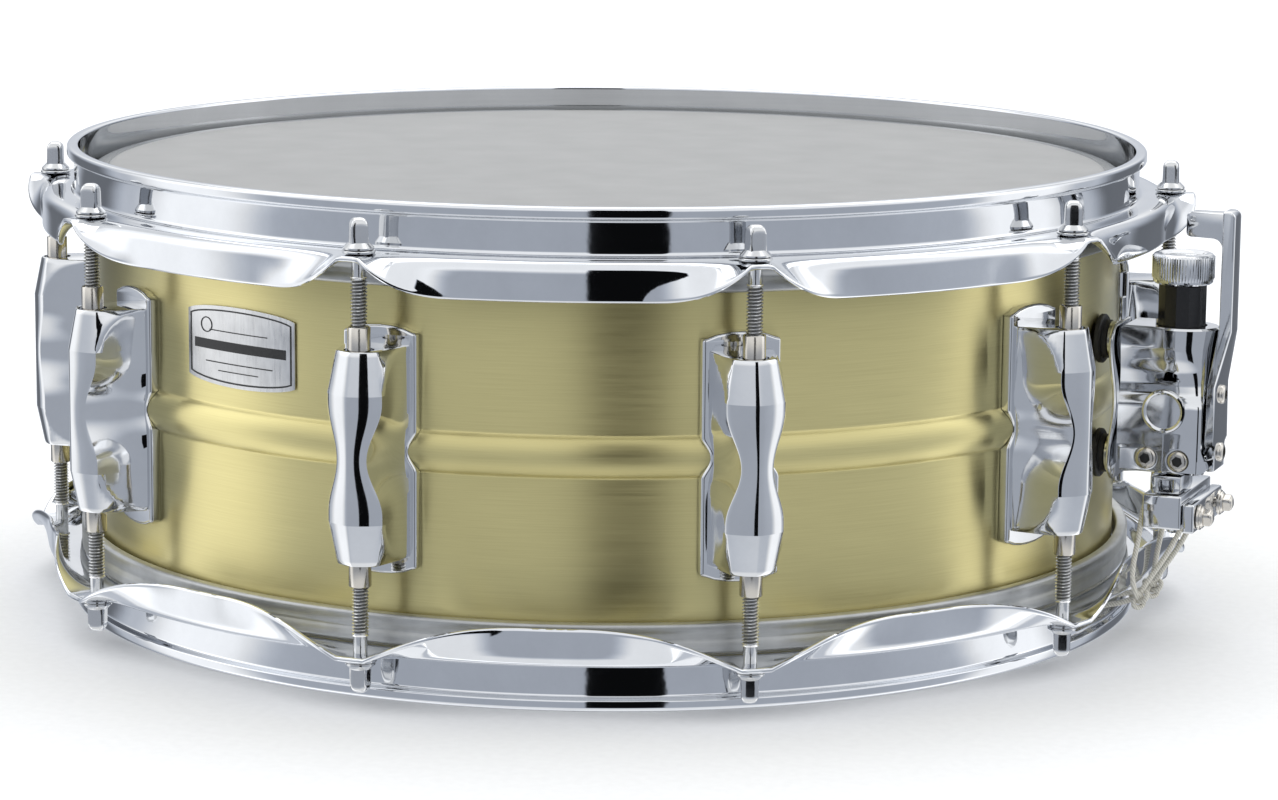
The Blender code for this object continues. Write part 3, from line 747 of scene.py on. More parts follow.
def make_hoop(name, side, flat_half_angle, skirt_half_angle, power):
    """One hoop, swept round the drum; the half-angles say where the ear ends and the skirt is full."""
    spacing = 360.0 / len(LUG_ANGLES)
    bend_end = skirt_half_angle + 0.8
    half = list(np.linspace(0.0, bend_end, 25)) + list(np.linspace(bend_end, spacing / 2.0, 7)[1:])
    offsets = [-offset for offset in reversed(half[1:-1])] + half
    sections = []
    for lug in LUG_ANGLES:
        for offset in offsets:
            outline = hoop_section(ear_fold(offset, flat_half_angle, skirt_half_angle, power))
            sections.append([around(r, lug + offset, side * z) for r, z in outline])
    return grid(name, sections, CHROME, ring=True)


def gate_cutter(sign):
    """A slot with rounded ends through the wall of the snare-side hoop."""
    y = GATE_HALF_WIDTH - GATE_CORNER
    low, high = GATE_CORNER - GATE_HIGH, -GATE_LOW - GATE_CORNER
    outline = []
    for centre, start in (((y, high), 0), ((-y, high), 90), ((-y, low), 180), ((y, low), 270)):
        outline += arc(centre, GATE_CORNER, start, start + 90, 6)
    return prism("gate", outline, sign * 172.0, sign * 190.0, CHROME, axis="x")


def make_hoops():
    batter = make_hoop("batter_counter_hoop", 1.0, 0.9, 11.2, 2.0)
    fasten(smooth(batter, 40.0), "root", "hoop_chrome", "batter_hoop")
    snare = make_hoop("snare_counter_hoop", -1.0, 1.3, 15.3, 1.6)
    cut(snare, gate_cutter(1.0), gate_cutter(-1.0))
    fasten(smooth(snare, 40.0), "root", "hoop_chrome", "snare_side_hoop")


# ---- lugs


def lug_half_width(z):
    """Half-width of the casting's front: widest at the crease, waisted in the middle."""
    height = abs(z)
    if height >= CREASE_HEIGHT:
        return float(np.interp(height, (CREASE_HEIGHT, LUG_END), (CREASE_HALF_WIDTH, END_HALF_WIDTH)))
    swell = 0.5 - 0.5 * cos(pi * min(height / SWELL_HEIGHT, 1.0))
    return WAIST_HALF_WIDTH + (CREASE_HALF_WIDTH - WAIST_HALF_WIDTH) * swell


def plate_half_width(z):
    """Half-width of the base plate: straight sides that draw in round the bead."""
    share = min(abs(z) / NOTCH_HALF_HEIGHT, 1.0)
    return PLATE_HALF_WIDTH - NOTCH_DEPTH * (0.5 + 0.5 * cos(pi * share)) ** 0.8


def lug_front(z):
    """Distance of the casting's front from the drum's axis."""
    return float(np.interp(abs(z), (CREASE_HEIGHT, LUG_END), (LUG_FRONT, LUG_FRONT - 2.8)))


def lug_section(z):
    """Half outline at a height, from the plate to the middle of the front.

    The flank runs from the plate to the column, hollowed above and below the ridge at mid-height;
    beyond the crease it meets the end facet, which leans in to the narrow end of the column.
    """
    width = lug_half_width(z)
    front = lug_front(z)
    crown = width * 0.55
    height = abs(z)
    wide = max(width, CREASE_HALF_WIDTH) if height > CREASE_HEIGHT else width
    lean = float(np.interp(height, (CREASE_HEIGHT, LUG_END), (14.0, 3.4)))
    scoop = FLANK_HOLLOW * float(np.interp(height, (0.0, 11.0, 20.0, 33.0), (0.0, 1.0, 0.8, 0.1)))
    draw_in = 0.5 + 0.5 * cos(pi * min(abs(z) / (2.0 * NOTCH_HALF_HEIGHT), 1.0))
    edge = PLATE_HALF_WIDTH - PLATE_RIM - FLANK_DRAW_IN * draw_in ** 2
    points = [(LUG_BACK, edge)]
    for step in range(13):
        share = step / 12.0
        hollow = (0.3 + scoop) * sin(pi * share ** 0.7)
        flank = edge + (wide - edge) * share - hollow
        facet = width + (1.0 - share) * lean
        if height <= CREASE_HEIGHT:
            facet = flank
        points.append((PLATE_FRONT + (front - crown - PLATE_FRONT) * share, min(flank, facet)))
    for degrees in (15, 27, 38, 48, 58, 67, 75, 83):
        angle = radians(degrees)
        side = width * cos(angle) ** (2.0 / FRONT_POWER)
        points.append((front - crown + crown * sin(angle) ** (2.0 / FRONT_POWER), side))
    points.append((front, 0.0))
    return points


def lug_plate_outline():
    """Base plate seen from the front: arched ends, straight sides, a round notch at the bead."""
    half = [(0.0, 39.4), (4.0, 39.2), (8.0, 38.5), (11.0, 37.4)]
    half += arc((11.4, 36.2), 1.1, 80, 0, 4)
    half.append((PLATE_HALF_WIDTH, 20.0))
    half += [(plate_half_width(z), z) for z in np.linspace(NOTCH_HALF_HEIGHT, -NOTCH_HALF_HEIGHT, 17)]
    half.append((PLATE_HALF_WIDTH, -20.0))
    half += arc((11.4, -36.2), 1.1, 0, -80, 4)
    half += [(11.0, -37.4), (8.0, -38.5), (4.0, -39.2), (0.0, -39.4)]
    return half + [(-y, z) for y, z in reversed(half[1:-1])]


def shell_cutter():
    """The shell and its bead, a touch oversize, to be cut from the back of the lug."""
    outer = [(SHELL_RADIUS + 0.12, 60.0)] + bead_profile(0.12) + [(SHELL_RADIUS + 0.12, -60.0)]
    sections = []
    for degrees in np.linspace(-8.0, 8.0, 33):
        sections.append([around(r, degrees, z) for r, z in [(150.0, 60.0)] + outer + [(150.0, -60.0)]])
    return grid("cutter", sections, LUG_CHROME)


def crease(piece, height, low, high):
    """Keep the edges across the lug at a height sharp, between two distances from the drum's axis."""
    level = (height + MIDDLE) * MM
    for edge in piece.data.edges:
        ends = [piece.data.vertices[index].co for index in edge.vertices]
        if all(abs(end.z - level) < 0.00005 and low * MM < end.x < high * MM for end in ends):
            edge.use_edge_sharp = True


def make_lug_mesh():
    """One lug on +X: base plate, column with its seats, and the two thread sleeves."""
    outline = lug_plate_outline()
    plate = prism("plate", outline, LUG_BACK, PLATE_FRONT, LUG_CHROME, axis="x")
    bevel(plate, 1.1, 4, 40.0)
    cut(plate, shell_cutter())
    ends = list(np.linspace(LUG_END, CREASE_HEIGHT, 9))
    middle = list(np.linspace(CREASE_HEIGHT - 1.0, 1.0 - CREASE_HEIGHT, 33))
    rows = []
    for z in ends + middle + [-z for z in reversed(ends)]:
        half = lug_section(z)
        full = half + [(x, -y) for x, y in reversed(half[:-1])]
        rows.append([at(x, y, z) for x, y in full])
    body = grid("body", rows, LUG_CHROME)
    bevel(body, 0.45, 2, 62.0)
    cut(body, shell_cutter(),
        *[rod("seat", (ROD_CIRCLE, 0.0, sign * 31.8), (ROD_CIRCLE, 0.0, sign * 36.0), 4.7, LUG_CHROME)
          for sign in (1.0, -1.0)])
    smooth(body, 24.0)
    for height in (CREASE_HEIGHT, -CREASE_HEIGHT):
        crease(body, height, 186.0, 210.0)
    crease(body, 0.0, 180.0, 198.0)
    parts = [smooth(plate, 35.0), body]
    for sign in (1.0, -1.0):
        profile = [(2.9, 31.0), (3.3, 31.0), (3.55, 31.2), (3.55, 40.2), (3.3, 40.5), (2.9, 40.3)]
        sleeve = lathe("sleeve", [(r, sign * z) for r, z in profile], NICKEL, 40, (ROD_CIRCLE, 0.0), True)
        parts.append(smooth(sleeve, 40.0))
    return merge("lug_detail", parts)


def make_lugs():
    first = make_lug_mesh()
    mesh = first.data
    bpy.data.objects.remove(first, do_unlink=True)
    for index, angle in enumerate(LUG_ANGLES):
        piece = show(f"lug_casting_{index + 1:02d}", mesh)
        piece.rotation_euler = (0.0, 0.0, radians(angle))
        fasten(piece, "root", "lug_chrome", f"lug_{index + 1:02d}")


# ---- tension rods


def thread(low, high, sides=20):
    """A rod with a real helical groove between two heights, on the Z axis."""
    steps = int((high - low) / THREAD_PITCH * 6)
    rows = []
    for step in range(steps + 1):
        z = low + (high - low) * step / steps
        fade = min(1.0, (z - low) / THREAD_PITCH, (high - z) / THREAD_PITCH)
        row = []
        for side in range(sides):
            angle = tau * side / sides
            phase = (z / THREAD_PITCH - side / sides) % 1.0
            groove = 1.0 - abs(2.0 * phase - 1.0)
            r = THREAD_RADIUS - THREAD_DEPTH * min(1.0, groove * 1.3) * fade
            row.append((r * cos(angle) * MM, r * sin(angle) * MM, z * MM))
        rows.append(row)
    return grid("thread", rows, THREADED)


def square_ring(half, z, power):
    """One level of the rod's head: a square whose corners round off as power falls."""
    row = []
    for step in range(32):
        angle = tau * step / 32
        c, s = cos(angle), sin(angle)
        scale = (abs(c) ** power + abs(s) ** power) ** (-1.0 / power)
        row.append((c * scale * half * MM, s * scale * half * MM, z * MM))
    return row


def square_head(levels, finish):
    """A square head from (height, half-width, squareness) levels."""
    return grid("head", [square_ring(half, z, power) for z, half, power in levels], finish)


def make_rod_mesh():
    """A tension rod about its own axis, heights from the mid-plane."""
    neck = [(0.0, 55.6), (2.25, 55.6), (2.25, 56.2), (2.2, 56.4), (2.2, 66.0), (0.0, 66.0)]
    washer = [(0.0, 63.2), (4.9, 63.2), (5.2, 63.45), (5.2, 63.95), (4.95, 64.15), (4.6, 64.2), (0.0, 64.2)]
    collar = [(0.0, 64.25), (4.5, 64.25), (4.8, 64.5), (4.8, 65.0), (4.5, 65.3), (3.9, 65.9), (3.3, 66.5),
              (0.0, 66.6)]
    head = square_head([(65.6, 2.9, 5.0), (67.2, 2.85, 6.0), (68.4, 2.75, 8.0), (71.2, 2.7, 8.0),
                        (72.3, 2.65, 6.5), (73.1, 2.4, 4.5), (73.7, 1.9, 3.4), (74.05, 1.2, 2.6),
                        (74.1, 0.4, 2.2)], ROD_CHROME)
    head.data.transform(Matrix.Rotation(radians(24.0), 4, "Z"))
    parts = [thread(*THREAD_SPAN)]
    parts += [turned("part", profile, ROD_CHROME) for profile in (neck, washer, collar)]
    return merge("rod_detail", [smooth(part, 40.0) for part in parts + [head]])


def make_rods():
    first = make_rod_mesh()
    mesh = first.data
    bpy.data.objects.remove(first, do_unlink=True)
    random.seed(14)
    for side_name, flip in (("batter", 0.0), ("snare", pi)):
        for index, place in enumerate(LUG_ANGLES):
            node = f"{side_name}_tension_rod_{index + 1:02d}"
            piece = show(f"{side_name}_rod_{index + 1:02d}", mesh)
            piece.location = around(ROD_CIRCLE, place, 0.0)
            piece.rotation_euler = (flip, 0.0, radians(place + random.uniform(-40.0, 40.0)))
            fasten(piece, node, "rod_chrome", node)


# ---- badge


def curved_plate(name, width, low, high, inner, outer, finish, middle, height, columns=24):
    """A plate bent to the shell; low and high give its edges as functions of the place across."""
    sections = []
    for column in range(columns + 1):
        across = -1.0 + 2.0 * column / columns
        degrees = middle + math.degrees(across * width / 2.0 / SHELL_RADIUS)
        corners = ((inner, low(across)), (outer, low(across)), (outer, high(across)), (inner, high(across)))
        sections.append([around(radius, degrees, height + z) for radius, z in corners])
    return grid(name, sections, finish)


def make_badge():
    """A satin plate with arched edges, a printed border and one dark band; it carries no words."""
    height = centre_mm("badge")[2]
    parts = []

    def arch(reach, bow, sign=1.0):
        return lambda across: sign * (reach + bow * sqrt(max(0.0, 1.0 - 0.92 * across * across)))

    def level(z):
        return lambda across: z

    def ink(width, low, high, front=178.85, centre=0.0, columns=24):
        angle = BADGE_AZIMUTH + math.degrees(centre / SHELL_RADIUS)
        parts.append(curved_plate("ink", width, low, high, INK_BACK, front, INK_AND_SHADE, angle, height, columns))

    plate = curved_plate("plate", 48.0, arch(9.6, 3.4, -1.0), arch(9.6, 3.4), BADGE_BACK, BADGE_FRONT,
                         BADGE_PLATE, BADGE_AZIMUTH, height)
    bevel(plate, 0.12, 2, 40.0)
    parts.append(smooth(plate, 30.0))
    ink(45.6, arch(8.0, 3.3), arch(8.5, 3.3))
    ink(45.6, arch(8.5, 3.3, -1.0), arch(8.0, 3.3, -1.0))
    for side in (-22.5, 22.5):
        ink(0.6, level(-9.4), level(9.4), centre=side, columns=2)
    ink(41.0, level(-1.5), level(1.6), 178.86)
    for low, high, width in ((4.6, 4.95, 26.0), (-5.6, -5.25, 30.0), (-8.2, -7.9, 18.0)):
        ink(width, level(low), level(high), 178.84)
    spots = []
    for step in range(33):
        angle = tau * step / 32
        across, up = cos(angle) * 2.6 - 14.5, sin(angle) * 2.6 * 0.9
        place = BADGE_AZIMUTH + math.degrees(across / SHELL_RADIUS)
        spots.append(around(178.8, place, height + 6.2 + up))
    parts.append(tube("ring", spots, 0.2, INK_AND_SHADE, 6))
    fasten(merge("badge_detail", parts), "root", "badge_metal", "badge")


# ---- throw-off


def socket_screw(x, y, z, radius, direction):
    """A domed screw with a hexagon socket darkened by an insert of painted shade; direction is the way its
    head faces.
    """
    profile = [(0.0, -1.2), (radius, -1.2), (radius, 0.2), (radius * 0.95, 0.6), (radius * 0.80, 1.0),
               (radius * 0.62, 1.2), (0.0, 1.2)]
    head = turned("screw", profile, NICKEL)
    cut(head, rod("socket", (0.0, 0.0, -0.9 - MIDDLE), (0.0, 0.0, 2.0 - MIDDLE), radius * 0.50, NICKEL, 6))
    # Painted shade: a dark insert on the socket's floor stands in for the shade inside the socket.
    shade = rod("shade", (0.0, 0.0, -0.8 - MIDDLE), (0.0, 0.0, 0.15 - MIDDLE), radius * 0.49, INK_AND_SHADE, 6)
    turn = Vector(direction).to_track_quat("Z", "Y").to_matrix().to_4x4()
    return put(merge("screw", [smooth(head, 35.0), shade]), x, y, z, turn)


def make_mounts():
    """Rubber rings, posts and the wavy back plate between shell and housing."""
    rubber = [(3.2, -2.0), (7.6, -2.0), (8.2, -1.5), (8.2, -0.3), (7.6, 0.2), (6.4, 0.2), (6.4, 1.9),
              (3.2, 1.9)]
    nut = [(0.0, 0.0), (5.8, 0.0), (6.1, 0.3), (6.1, 2.2), (5.8, 2.5), (5.0, 2.6), (5.0, 4.0), (0.0, 4.0)]
    rows = []
    for step in range(29):
        z = -25.0 + 52.0 * step / 28
        centre = 186.6 + 0.9 * cos(pi * (z - 1.0) / 19.5)
        half = 12.0 - 2.2 * max(0.0, abs(z - 1.0) - 22.0) ** 1.3 / 4.0
        corners = ((-0.8, -half), (0.8, -half), (0.8, half), (-0.8, half))
        rows.append([at(centre + x, y, z) for x, y in corners])
    plate = grid("plate", rows, PLATED)
    bevel(plate, 0.35, 2, 50.0)
    parts = [smooth(plate, 40.0)]
    for name, height in MOUNT_HEIGHTS:
        ring = put(turned(f"bush_{name}", rubber, RUBBER, 48, True), 180.4, 0.0, height, TO_X)
        fasten(smooth(ring), "root", "black_rubber", f"strainer_mount_bush_{name}")
        parts.append(smooth(put(turned("post", nut, PLATED, 32), 182.4, 0.0, height, TO_X)))
    fasten(merge("strainer_plate", parts), "root", "strainer_chrome", "strainer_back_plate")


def housing_outline(z):
    """Half-width at the spindle, squareness of the front, and half-width at the back, at a height."""
    stations = ((-21.7, 9.8, 7.0, 9.4), (-20.9, 10.7, 9.0, 10.3), (-8.0, 10.8, 9.0, 10.4),
                (BLOCK_TOP, 10.8, 9.0, 10.2), (2.0, 10.3, 7.5, 9.6), (4.5, 8.8, 4.6, 8.6),
                (8.0, 8.1, 3.4, 8.0), (12.0, 8.5, 2.8, 7.9), (16.0, 9.9, 2.3, 8.4),
                (20.0, 10.7, 2.05, 8.8), (26.3, 10.8, 2.0, 9.0), (27.0, 10.2, 2.0, 8.4))
    heights, *columns = zip(*stations)
    return [float(np.interp(z, heights, column)) for column in columns]


def housing_nose(z, half):
    """Reach of the casting in front of the spindle: it leans out under the lever towards the top."""
    if z < BLOCK_TOP:
        return half
    return BLOCK_HALF + NOSE_LEAN * unit((z - 6.0) / 20.0) - max(0.0, z - 26.3)


def make_housing():
    """Cast housing: a barrel with a web back to the plate, spreading into a block with ears."""
    heights = [-21.7, -21.4, -20.9] + list(np.linspace(-19.0, 26.0, 61)) + [26.3, 26.7, 27.0]
    rows = []
    for z in heights:
        half, power, back_half = housing_outline(z)
        nose = housing_nose(z, half)
        inset = 1.2 if z < -13.0 or z > 26.5 else 0.0
        back = BACK_PLATE_FRONT + inset
        row = []
        for step in range(33):
            angle = pi * (step / 32.0 - 0.5)
            c, s = cos(angle), sin(angle)
            row.append((SPINDLE_X + nose * abs(c) ** (2.0 / power),
                        half * copysign(abs(s) ** (2.0 / power), s)))
        for share in (0.2, 0.4, 0.6, 0.8, 0.92, 1.0):
            swell = 0.9 * sin(pi * share)
            row.append((SPINDLE_X + (back - SPINDLE_X) * share, half + (back_half - half) * share - swell))
        row += [(x, -y) for x, y in reversed(row[33:])]
        rows.append([at(x, y, z) for x, y in row])
    housing = grid("housing_casting", rows, PLATED)
    ears = [(206.0, -21.0), (217.6, -21.0)] + arc((216.6, -18.6), 2.2, -80, 60, 7)
    ears += [(216.6, -12.6), (206.0, -12.6)]
    combine(housing, [prism("ears", ears, -10.3, 10.3, PLATED)], "UNION")
    x, z = EMBLEM_PLACE
    cut(housing,
        rod("bore", (SPINDLE_X, 0.0, 9.0), (SPINDLE_X, 0.0, 30.0), 8.5, PLATED, 48),
        rod("spindle", (SPINDLE_X, 0.0, -24.0), (SPINDLE_X, 0.0, 10.0), 3.9, PLATED),
        block("recess", (212.5, -7.8, -24.0), (222.0, 7.8, -11.0), PLATED),
        block("seam", (x, -13.0, -24.0), (x + 0.4, -9.9, -8.0), PLATED),
        rod("disc", (x, -12.0, z), (x, -10.35, z), 7.5, PLATED, 64),
        *[rod("seat", (a, -12.0, b), (a, -9.3, b), 4.15, PLATED) for a, b in SCREW_PLACES])
    emblem = [(0.0, 0.12), (5.7, 0.12), (6.0, 0.5), (6.5, 0.75), (7.1, 0.5), (7.3, 0.0), (7.3, -0.8),
              (0.0, -0.8)]
    medal = put(turned("emblem", emblem, PLATED, 64), x, -10.4, z, Matrix.Rotation(radians(90.0), 4, "X"))
    parts = [smooth(housing, 30.0), smooth(medal)]
    parts += [socket_screw(a, -9.6, b, 3.7, (0.0, -1.0, 0.0)) for a, b in SCREW_PLACES]
    fasten(merge("strainer_casting", parts), "root", "strainer_chrome", "strainer_housing")
    x, y, z = centre_mm("lever_hinge_pin")
    pin = rod("hinge_pin", (x, -10.1, z), (x, 10.1, z), 1.1, NICKEL)
    fasten(smooth(pin), "root", "steel", "lever_hinge_pin")


def make_lever():
    """The lever: foot plate on the hinge, upright bar with a thick outer edge, and a hook."""
    bar = [(217.7, -20.6), (220.5, -20.6), (220.5, -12.4), (220.5, -10.6), (220.6, 8.0), (224.2, 26.0),
           (224.2, 63.4)]
    bar += arc((222.0, 63.6), 2.2, 0, 88, 6)
    bar += [(219.9, 65.8), (219.9, 26.6), (217.7, 8.6), (217.7, -10.6), (217.7, -12.4)]
    halves = [float(np.interp(z, (-12.4, -10.6, 8.0, 26.0), (7.1, 9.0, 9.0, 4.4))) for x, z in bar]
    rows = [[at(x, side * half, z) for (x, z), half in zip(bar, halves)] for side in (-1.0, 1.0)]
    outer = grid("outer", rows, PLATED)
    bevel(outer, 0.7, 3, 32.0)
    web = [(220.6, 25.0), (220.6, 65.0), (209.2, 65.0)] + arc((209.2, 63.4), 1.6, 90, 180, 5)
    web += arc((209.4, 58.4), 1.8, 180, 262, 5)
    web += arc((216.4, 53.2), 3.4, 90, 8, 7) + [(219.7, 40.0), (219.7, 25.0)]
    plate = prism("web", web, -3.4, 3.4, PLATED)
    bevel(plate, 0.5, 3, 40.0)
    knuckle = rod("knuckle", (216.0, -7.1, -18.0), (216.0, 7.1, -18.0), 2.4, PLATED)
    bevel(knuckle, 0.25, 2, 40.0)
    parts = [smooth(part, 35.0) for part in (outer, plate, knuckle)]
    parts += [socket_screw(220.9, 0.0, z, 3.2, (1.0, 0.0, 0.0)) for z in (4.6, -14.8)]
    fasten(merge("throw_off_lever", parts), "lever", "strainer_chrome", "throw_lever")


def make_knob():
    """Knurled cap with a dished top on a plain spindle."""
    profile = [(5.6, 50.15), (6.6, 50.35), (7.6, 50.95), (8.9, 51.0), (9.6, 50.75), (10.05, 50.2)]
    knurled = [(10.05, 50.0), (10.05, 43.0)]
    profile += knurled + [(9.9, 42.3), (9.9, 41.6), (9.4, 41.05), (2.6, 41.0), (2.6, -27.4)]
    ridges = (0.0, 0.7, 1.0, 0.7)
    sides = 60 * len(ridges)
    rows = []
    for r, z in profile:
        row = []
        for side in range(sides):
            angle = tau * side / sides
            radius = r + (0.28 * ridges[side % 4] if (r, z) in knurled else 0.0)
            row.append(at(SPINDLE_X + radius * cos(angle), radius * sin(angle), z))
        rows.append(row)
    knob = grid("knob_detail", rows, PLATED)
    fasten(smooth(knob, 32.0), "knob", "strainer_chrome", "adjusting_knob")


def make_sleeve():
    """Black sleeve with twelve flats between the knob and the housing."""
    rows = []
    levels = ((3.2, 40.7), (7.8, 40.7), (8.1, 40.4), (8.1, 19.0), (7.8, 18.6), (3.2, 18.6))
    for step in range(48):
        angle = tau * step / 48
        flat = cos(pi / 12.0) / cos((angle % (pi / 6.0)) - pi / 12.0)
        across, up = flat * cos(angle), flat * sin(angle)
        rows.append([at(SPINDLE_X + r * across, r * up, z) for r, z in levels])
    sleeve = grid("sleeve_detail", rows, BLACK, ring=True)
    fasten(smooth(sleeve, 10.0), "carriage", "black_plastic", "carriage_sleeve")


def square_screw(name, x, y, z, direction, body, node):
    """A square-head clamp screw lying along X, with its washer."""
    washer = [(0.0, 0.0), (4.0, 0.0), (4.25, 0.25), (4.25, 0.8), (4.0, 1.0), (0.0, 1.0)]
    collar = [(0.0, 1.0), (3.7, 1.0), (3.7, 1.5), (3.1, 2.0), (0.0, 2.0)]
    shank = [(0.0, -11.5), (1.8, -11.5), (1.8, 0.2), (0.0, 0.2)]
    levels = [(1.6, 2.3, 5.0), (2.4, 2.3, 7.0), (4.0, 2.25, 7.0), (4.6, 1.95, 4.5), (5.0, 1.3, 3.0),
              (SCREW_HEAD_REACH, 0.5, 2.2)]
    parts = [turned("part", profile, NICKEL) for profile in (washer, collar, shank)]
    parts.append(square_head(levels, NICKEL))
    turn = Matrix.Rotation(radians(90.0 * direction), 4, "Y") @ Matrix.Rotation(radians(20.0), 4, "Z")
    screw = put(merge(name, [smooth(part) for part in parts]), x, y, z, turn)
    fasten(screw, body, "strainer_chrome", node)


def clamp_hardware(side, body, plate_node, screw_prefix):
    """The clamp plate and its two screws, at the throw-off or the butt end."""
    plate = block(f"{plate_node}_detail", *box_mm(plate_node), PLATED)
    bevel(plate, 0.8, 3)
    fasten(smooth(plate), body, "strainer_chrome", plate_node)
    for name in ("front", "back"):
        node = f"{screw_prefix}_{name}"
        low, high = box_mm(node)
        outer = high[0] if side > 0 else low[0]
        y, z = centre_mm(node)[1:]
        square_screw(f"{node}_detail", outer - side * SCREW_HEAD_REACH, y, z, side, body, node)


def make_clamp():
    """Slide bar and cord block below the housing."""
    bar = block("bar", (199.4, -8.0, -29.0), (209.8, 8.0, -22.9), PLATED)
    cut(bar, block("window", (202.2, -9.0, -28.0), (207.0, 9.0, -24.4), PLATED))
    bevel(bar, 0.4, 2)
    body = block("body", (200.0, -CLAMP_HALF_WIDTH, CLAMP_FOOT), (213.0, CLAMP_HALF_WIDTH, -27.0), PLATED)
    bevel(body, 0.7, 3)
    slide = merge("slide_detail", [smooth(bar), smooth(body)])
    fasten(slide, "clamp", "strainer_chrome", "snare_slide")
    clamp_hardware(1.0, "clamp", "strainer_clamp_plate", "strainer_clamp_screw")


def make_butt():
    """Fixed end: a plate on the shell with a block and clamp plate for the cords."""
    plate = block("plate", (-181.2, -15.0, -44.0), (-178.6, 15.0, -9.0), PLATED)
    bevel(plate, 0.9, 3)
    body = block("body", (-193.0, -CLAMP_HALF_WIDTH, CLAMP_FOOT), (-181.0, CLAMP_HALF_WIDTH, -26.0), PLATED)
    bevel(body, 1.4, 4)
    parts = [smooth(plate), smooth(body)]
    parts += [socket_screw(-181.2, y, -14.5, 3.3, (-1.0, 0.0, 0.0)) for y in (-9.5, 9.5)]
    fasten(merge("butt_detail", parts), "root", "strainer_chrome", "butt_plate")
    clamp_hardware(-1.0, "root", "butt_clamp_plate", "butt_clamp_screw")


# ---- snare wires and cords


def make_wires():
    """Coiled strands soldered into two end plates."""
    reach, half_width, top = box_mm("snare_wires")[1]
    parts = []
    for sign in (-1.0, 1.0):
        ends = sorted((sign * reach, sign * (reach - 14.0)))
        low, high = (ends[0], -half_width, top - 1.2), (ends[1], half_width, top - 0.2)
        plate = block("plate", low, high, WIRE_STEEL)
        x = sign * (reach - 3.2)
        cut(plate, *[rod("eye", (x, y, top - 3.0), (x, y, top + 2.0), 1.5, WIRE_STEEL, 20)
                     for y in (-CORD_OFFSET, CORD_OFFSET)])
        bevel(plate, 0.25, 2)
        parts.append(smooth(plate))
    length = 2.0 * (reach - 12.0)
    steps = STRAND_TURNS * STRAND_SIDES
    for strand in range(STRANDS):
        y = (strand - (STRANDS - 1) / 2.0) * STRAND_PITCH
        points = []
        for step in range(steps + 1):
            angle = tau * step / STRAND_SIDES + strand
            x = -length / 2.0 + length * step / steps
            points.append(at(x, y + COIL_RADIUS * cos(angle), top - 0.85 + COIL_RADIUS * sin(angle)))
        parts.append(smooth(tube("strand", points, 0.2, WIRE_STEEL, 4), 80.0))
    fasten(merge("snare_wire_set", parts), "wires", "wire_steel", "snare_wires")


def knot(name, x0, y0, z0):
    """A small overhand knot: a lumpy closed loop of cord wound on itself."""
    points = []
    for step in range(97):
        t = tau * step / 96
        x = sin(t) + 2.0 * sin(2.0 * t)
        z = cos(t) - 2.0 * cos(2.0 * t)
        points.append(at(x0 + x * KNOT_SIZE, y0 - sin(3.0 * t) * KNOT_DEPTH, z0 + z * KNOT_SIZE))
    return smooth(tube(name, points, 0.85, CORD), 80.0)


def cord(name, points):
    """A taut cord through design points."""
    path = route(points, 8)
    piece = smooth(tube(name, path, CORD_RADIUS, CORD), 60.0)
    return piece


def make_cords():
    """Cords from the clamps round the hoop and in through the gates to the wires' end plates."""
    knotted = (196.8, -64.4)
    outside = [(211.4, -37.2), (210.4, -40.4), (205.5, -50.0), (199.8, -59.0), knotted]
    inside = [knotted, (191.0, -66.9), (184.0, -68.8), (176.0, -70.9), (165.5, -71.35)]
    butt = [(-191.6, -37.2), (-192.8, -40.4), (-198.4, -50.0), (-199.0, -59.0), (-196.6, -64.6)]
    butt += [(-x, z) for x, z in inside[1:]]
    tail = [(201.4, 5.5, -30.6), (199.4, 5.8, -32.6), (198.2, 7.4, -43.0), (196.4, 6.6, -54.5),
            (196.4, 2.4, -62.6), (197.0, 0.0, -65.0)]
    for name, sign in (("front", -1.0), ("back", 1.0)):
        y = sign * CORD_OFFSET
        upper = cord(f"strainer_cord_upper_{name}", [(x, y, z) for x, z in outside])
        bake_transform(upper)
        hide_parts(f"strainer_cord_{name}")
        loose = cord(f"cord_tail_{name}", [(x, y + sign * off, z) for x, off, z in tail])
        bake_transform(loose)
        lower = cord(f"strainer_cord_lower_{name}", [(x, y, z) for x, z in inside])
        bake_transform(lower)
        fasten(knot(f"cord_knot_{name}", 197.0, y, -64.8), "root", "cord")
        fixed = cord(f"butt_cord_detail_{name}", [(x, y, z) for x, z in butt])
        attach(fixed, "root")
        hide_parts(f"butt_cord_{name}")


# ---- floor, light and camera


def make_floor():
    """A pale paper floor, and a sweep round it that only the camera sees."""
    foot = CAD_BOX[0][2] / MM - MIDDLE - 0.2
    made = Nodes("floor_paper")
    made.colour(made.noise(300.0), [(0.3, (0.90, 0.90, 0.90)), (0.7, (0.93, 0.93, 0.93))])
    made.set(Roughness=0.9, Specular_IOR_Level=0.1)
    corners = [(-6000.0, -6000.0), (6000.0, -6000.0), (6000.0, 6000.0), (-6000.0, 6000.0)]
    floor = make_object("floor", [at(x, y, -MIDDLE) for x, y in corners], [(0, 1, 2, 3)], made.material)
    floor.location = at(0.0, 0.0, foot)
    profile = [(5500.0, foot), (5900.0, foot + 30.0), (6300.0, foot + 200.0), (6600.0, foot + 600.0),
               (6750.0, foot + 1500.0), (6800.0, foot + 6000.0), (6900.0, foot + 6000.0),
               (6900.0, foot - 60.0), (5500.0, foot - 60.0)]
    sweep = smooth(lathe("backdrop", profile, made.material, 96, closed=True), 50.0)
    sweep.visible_diffuse = False
    sweep.visible_shadow = False
    for piece in (floor, sweep):
        piece.visible_glossy = False


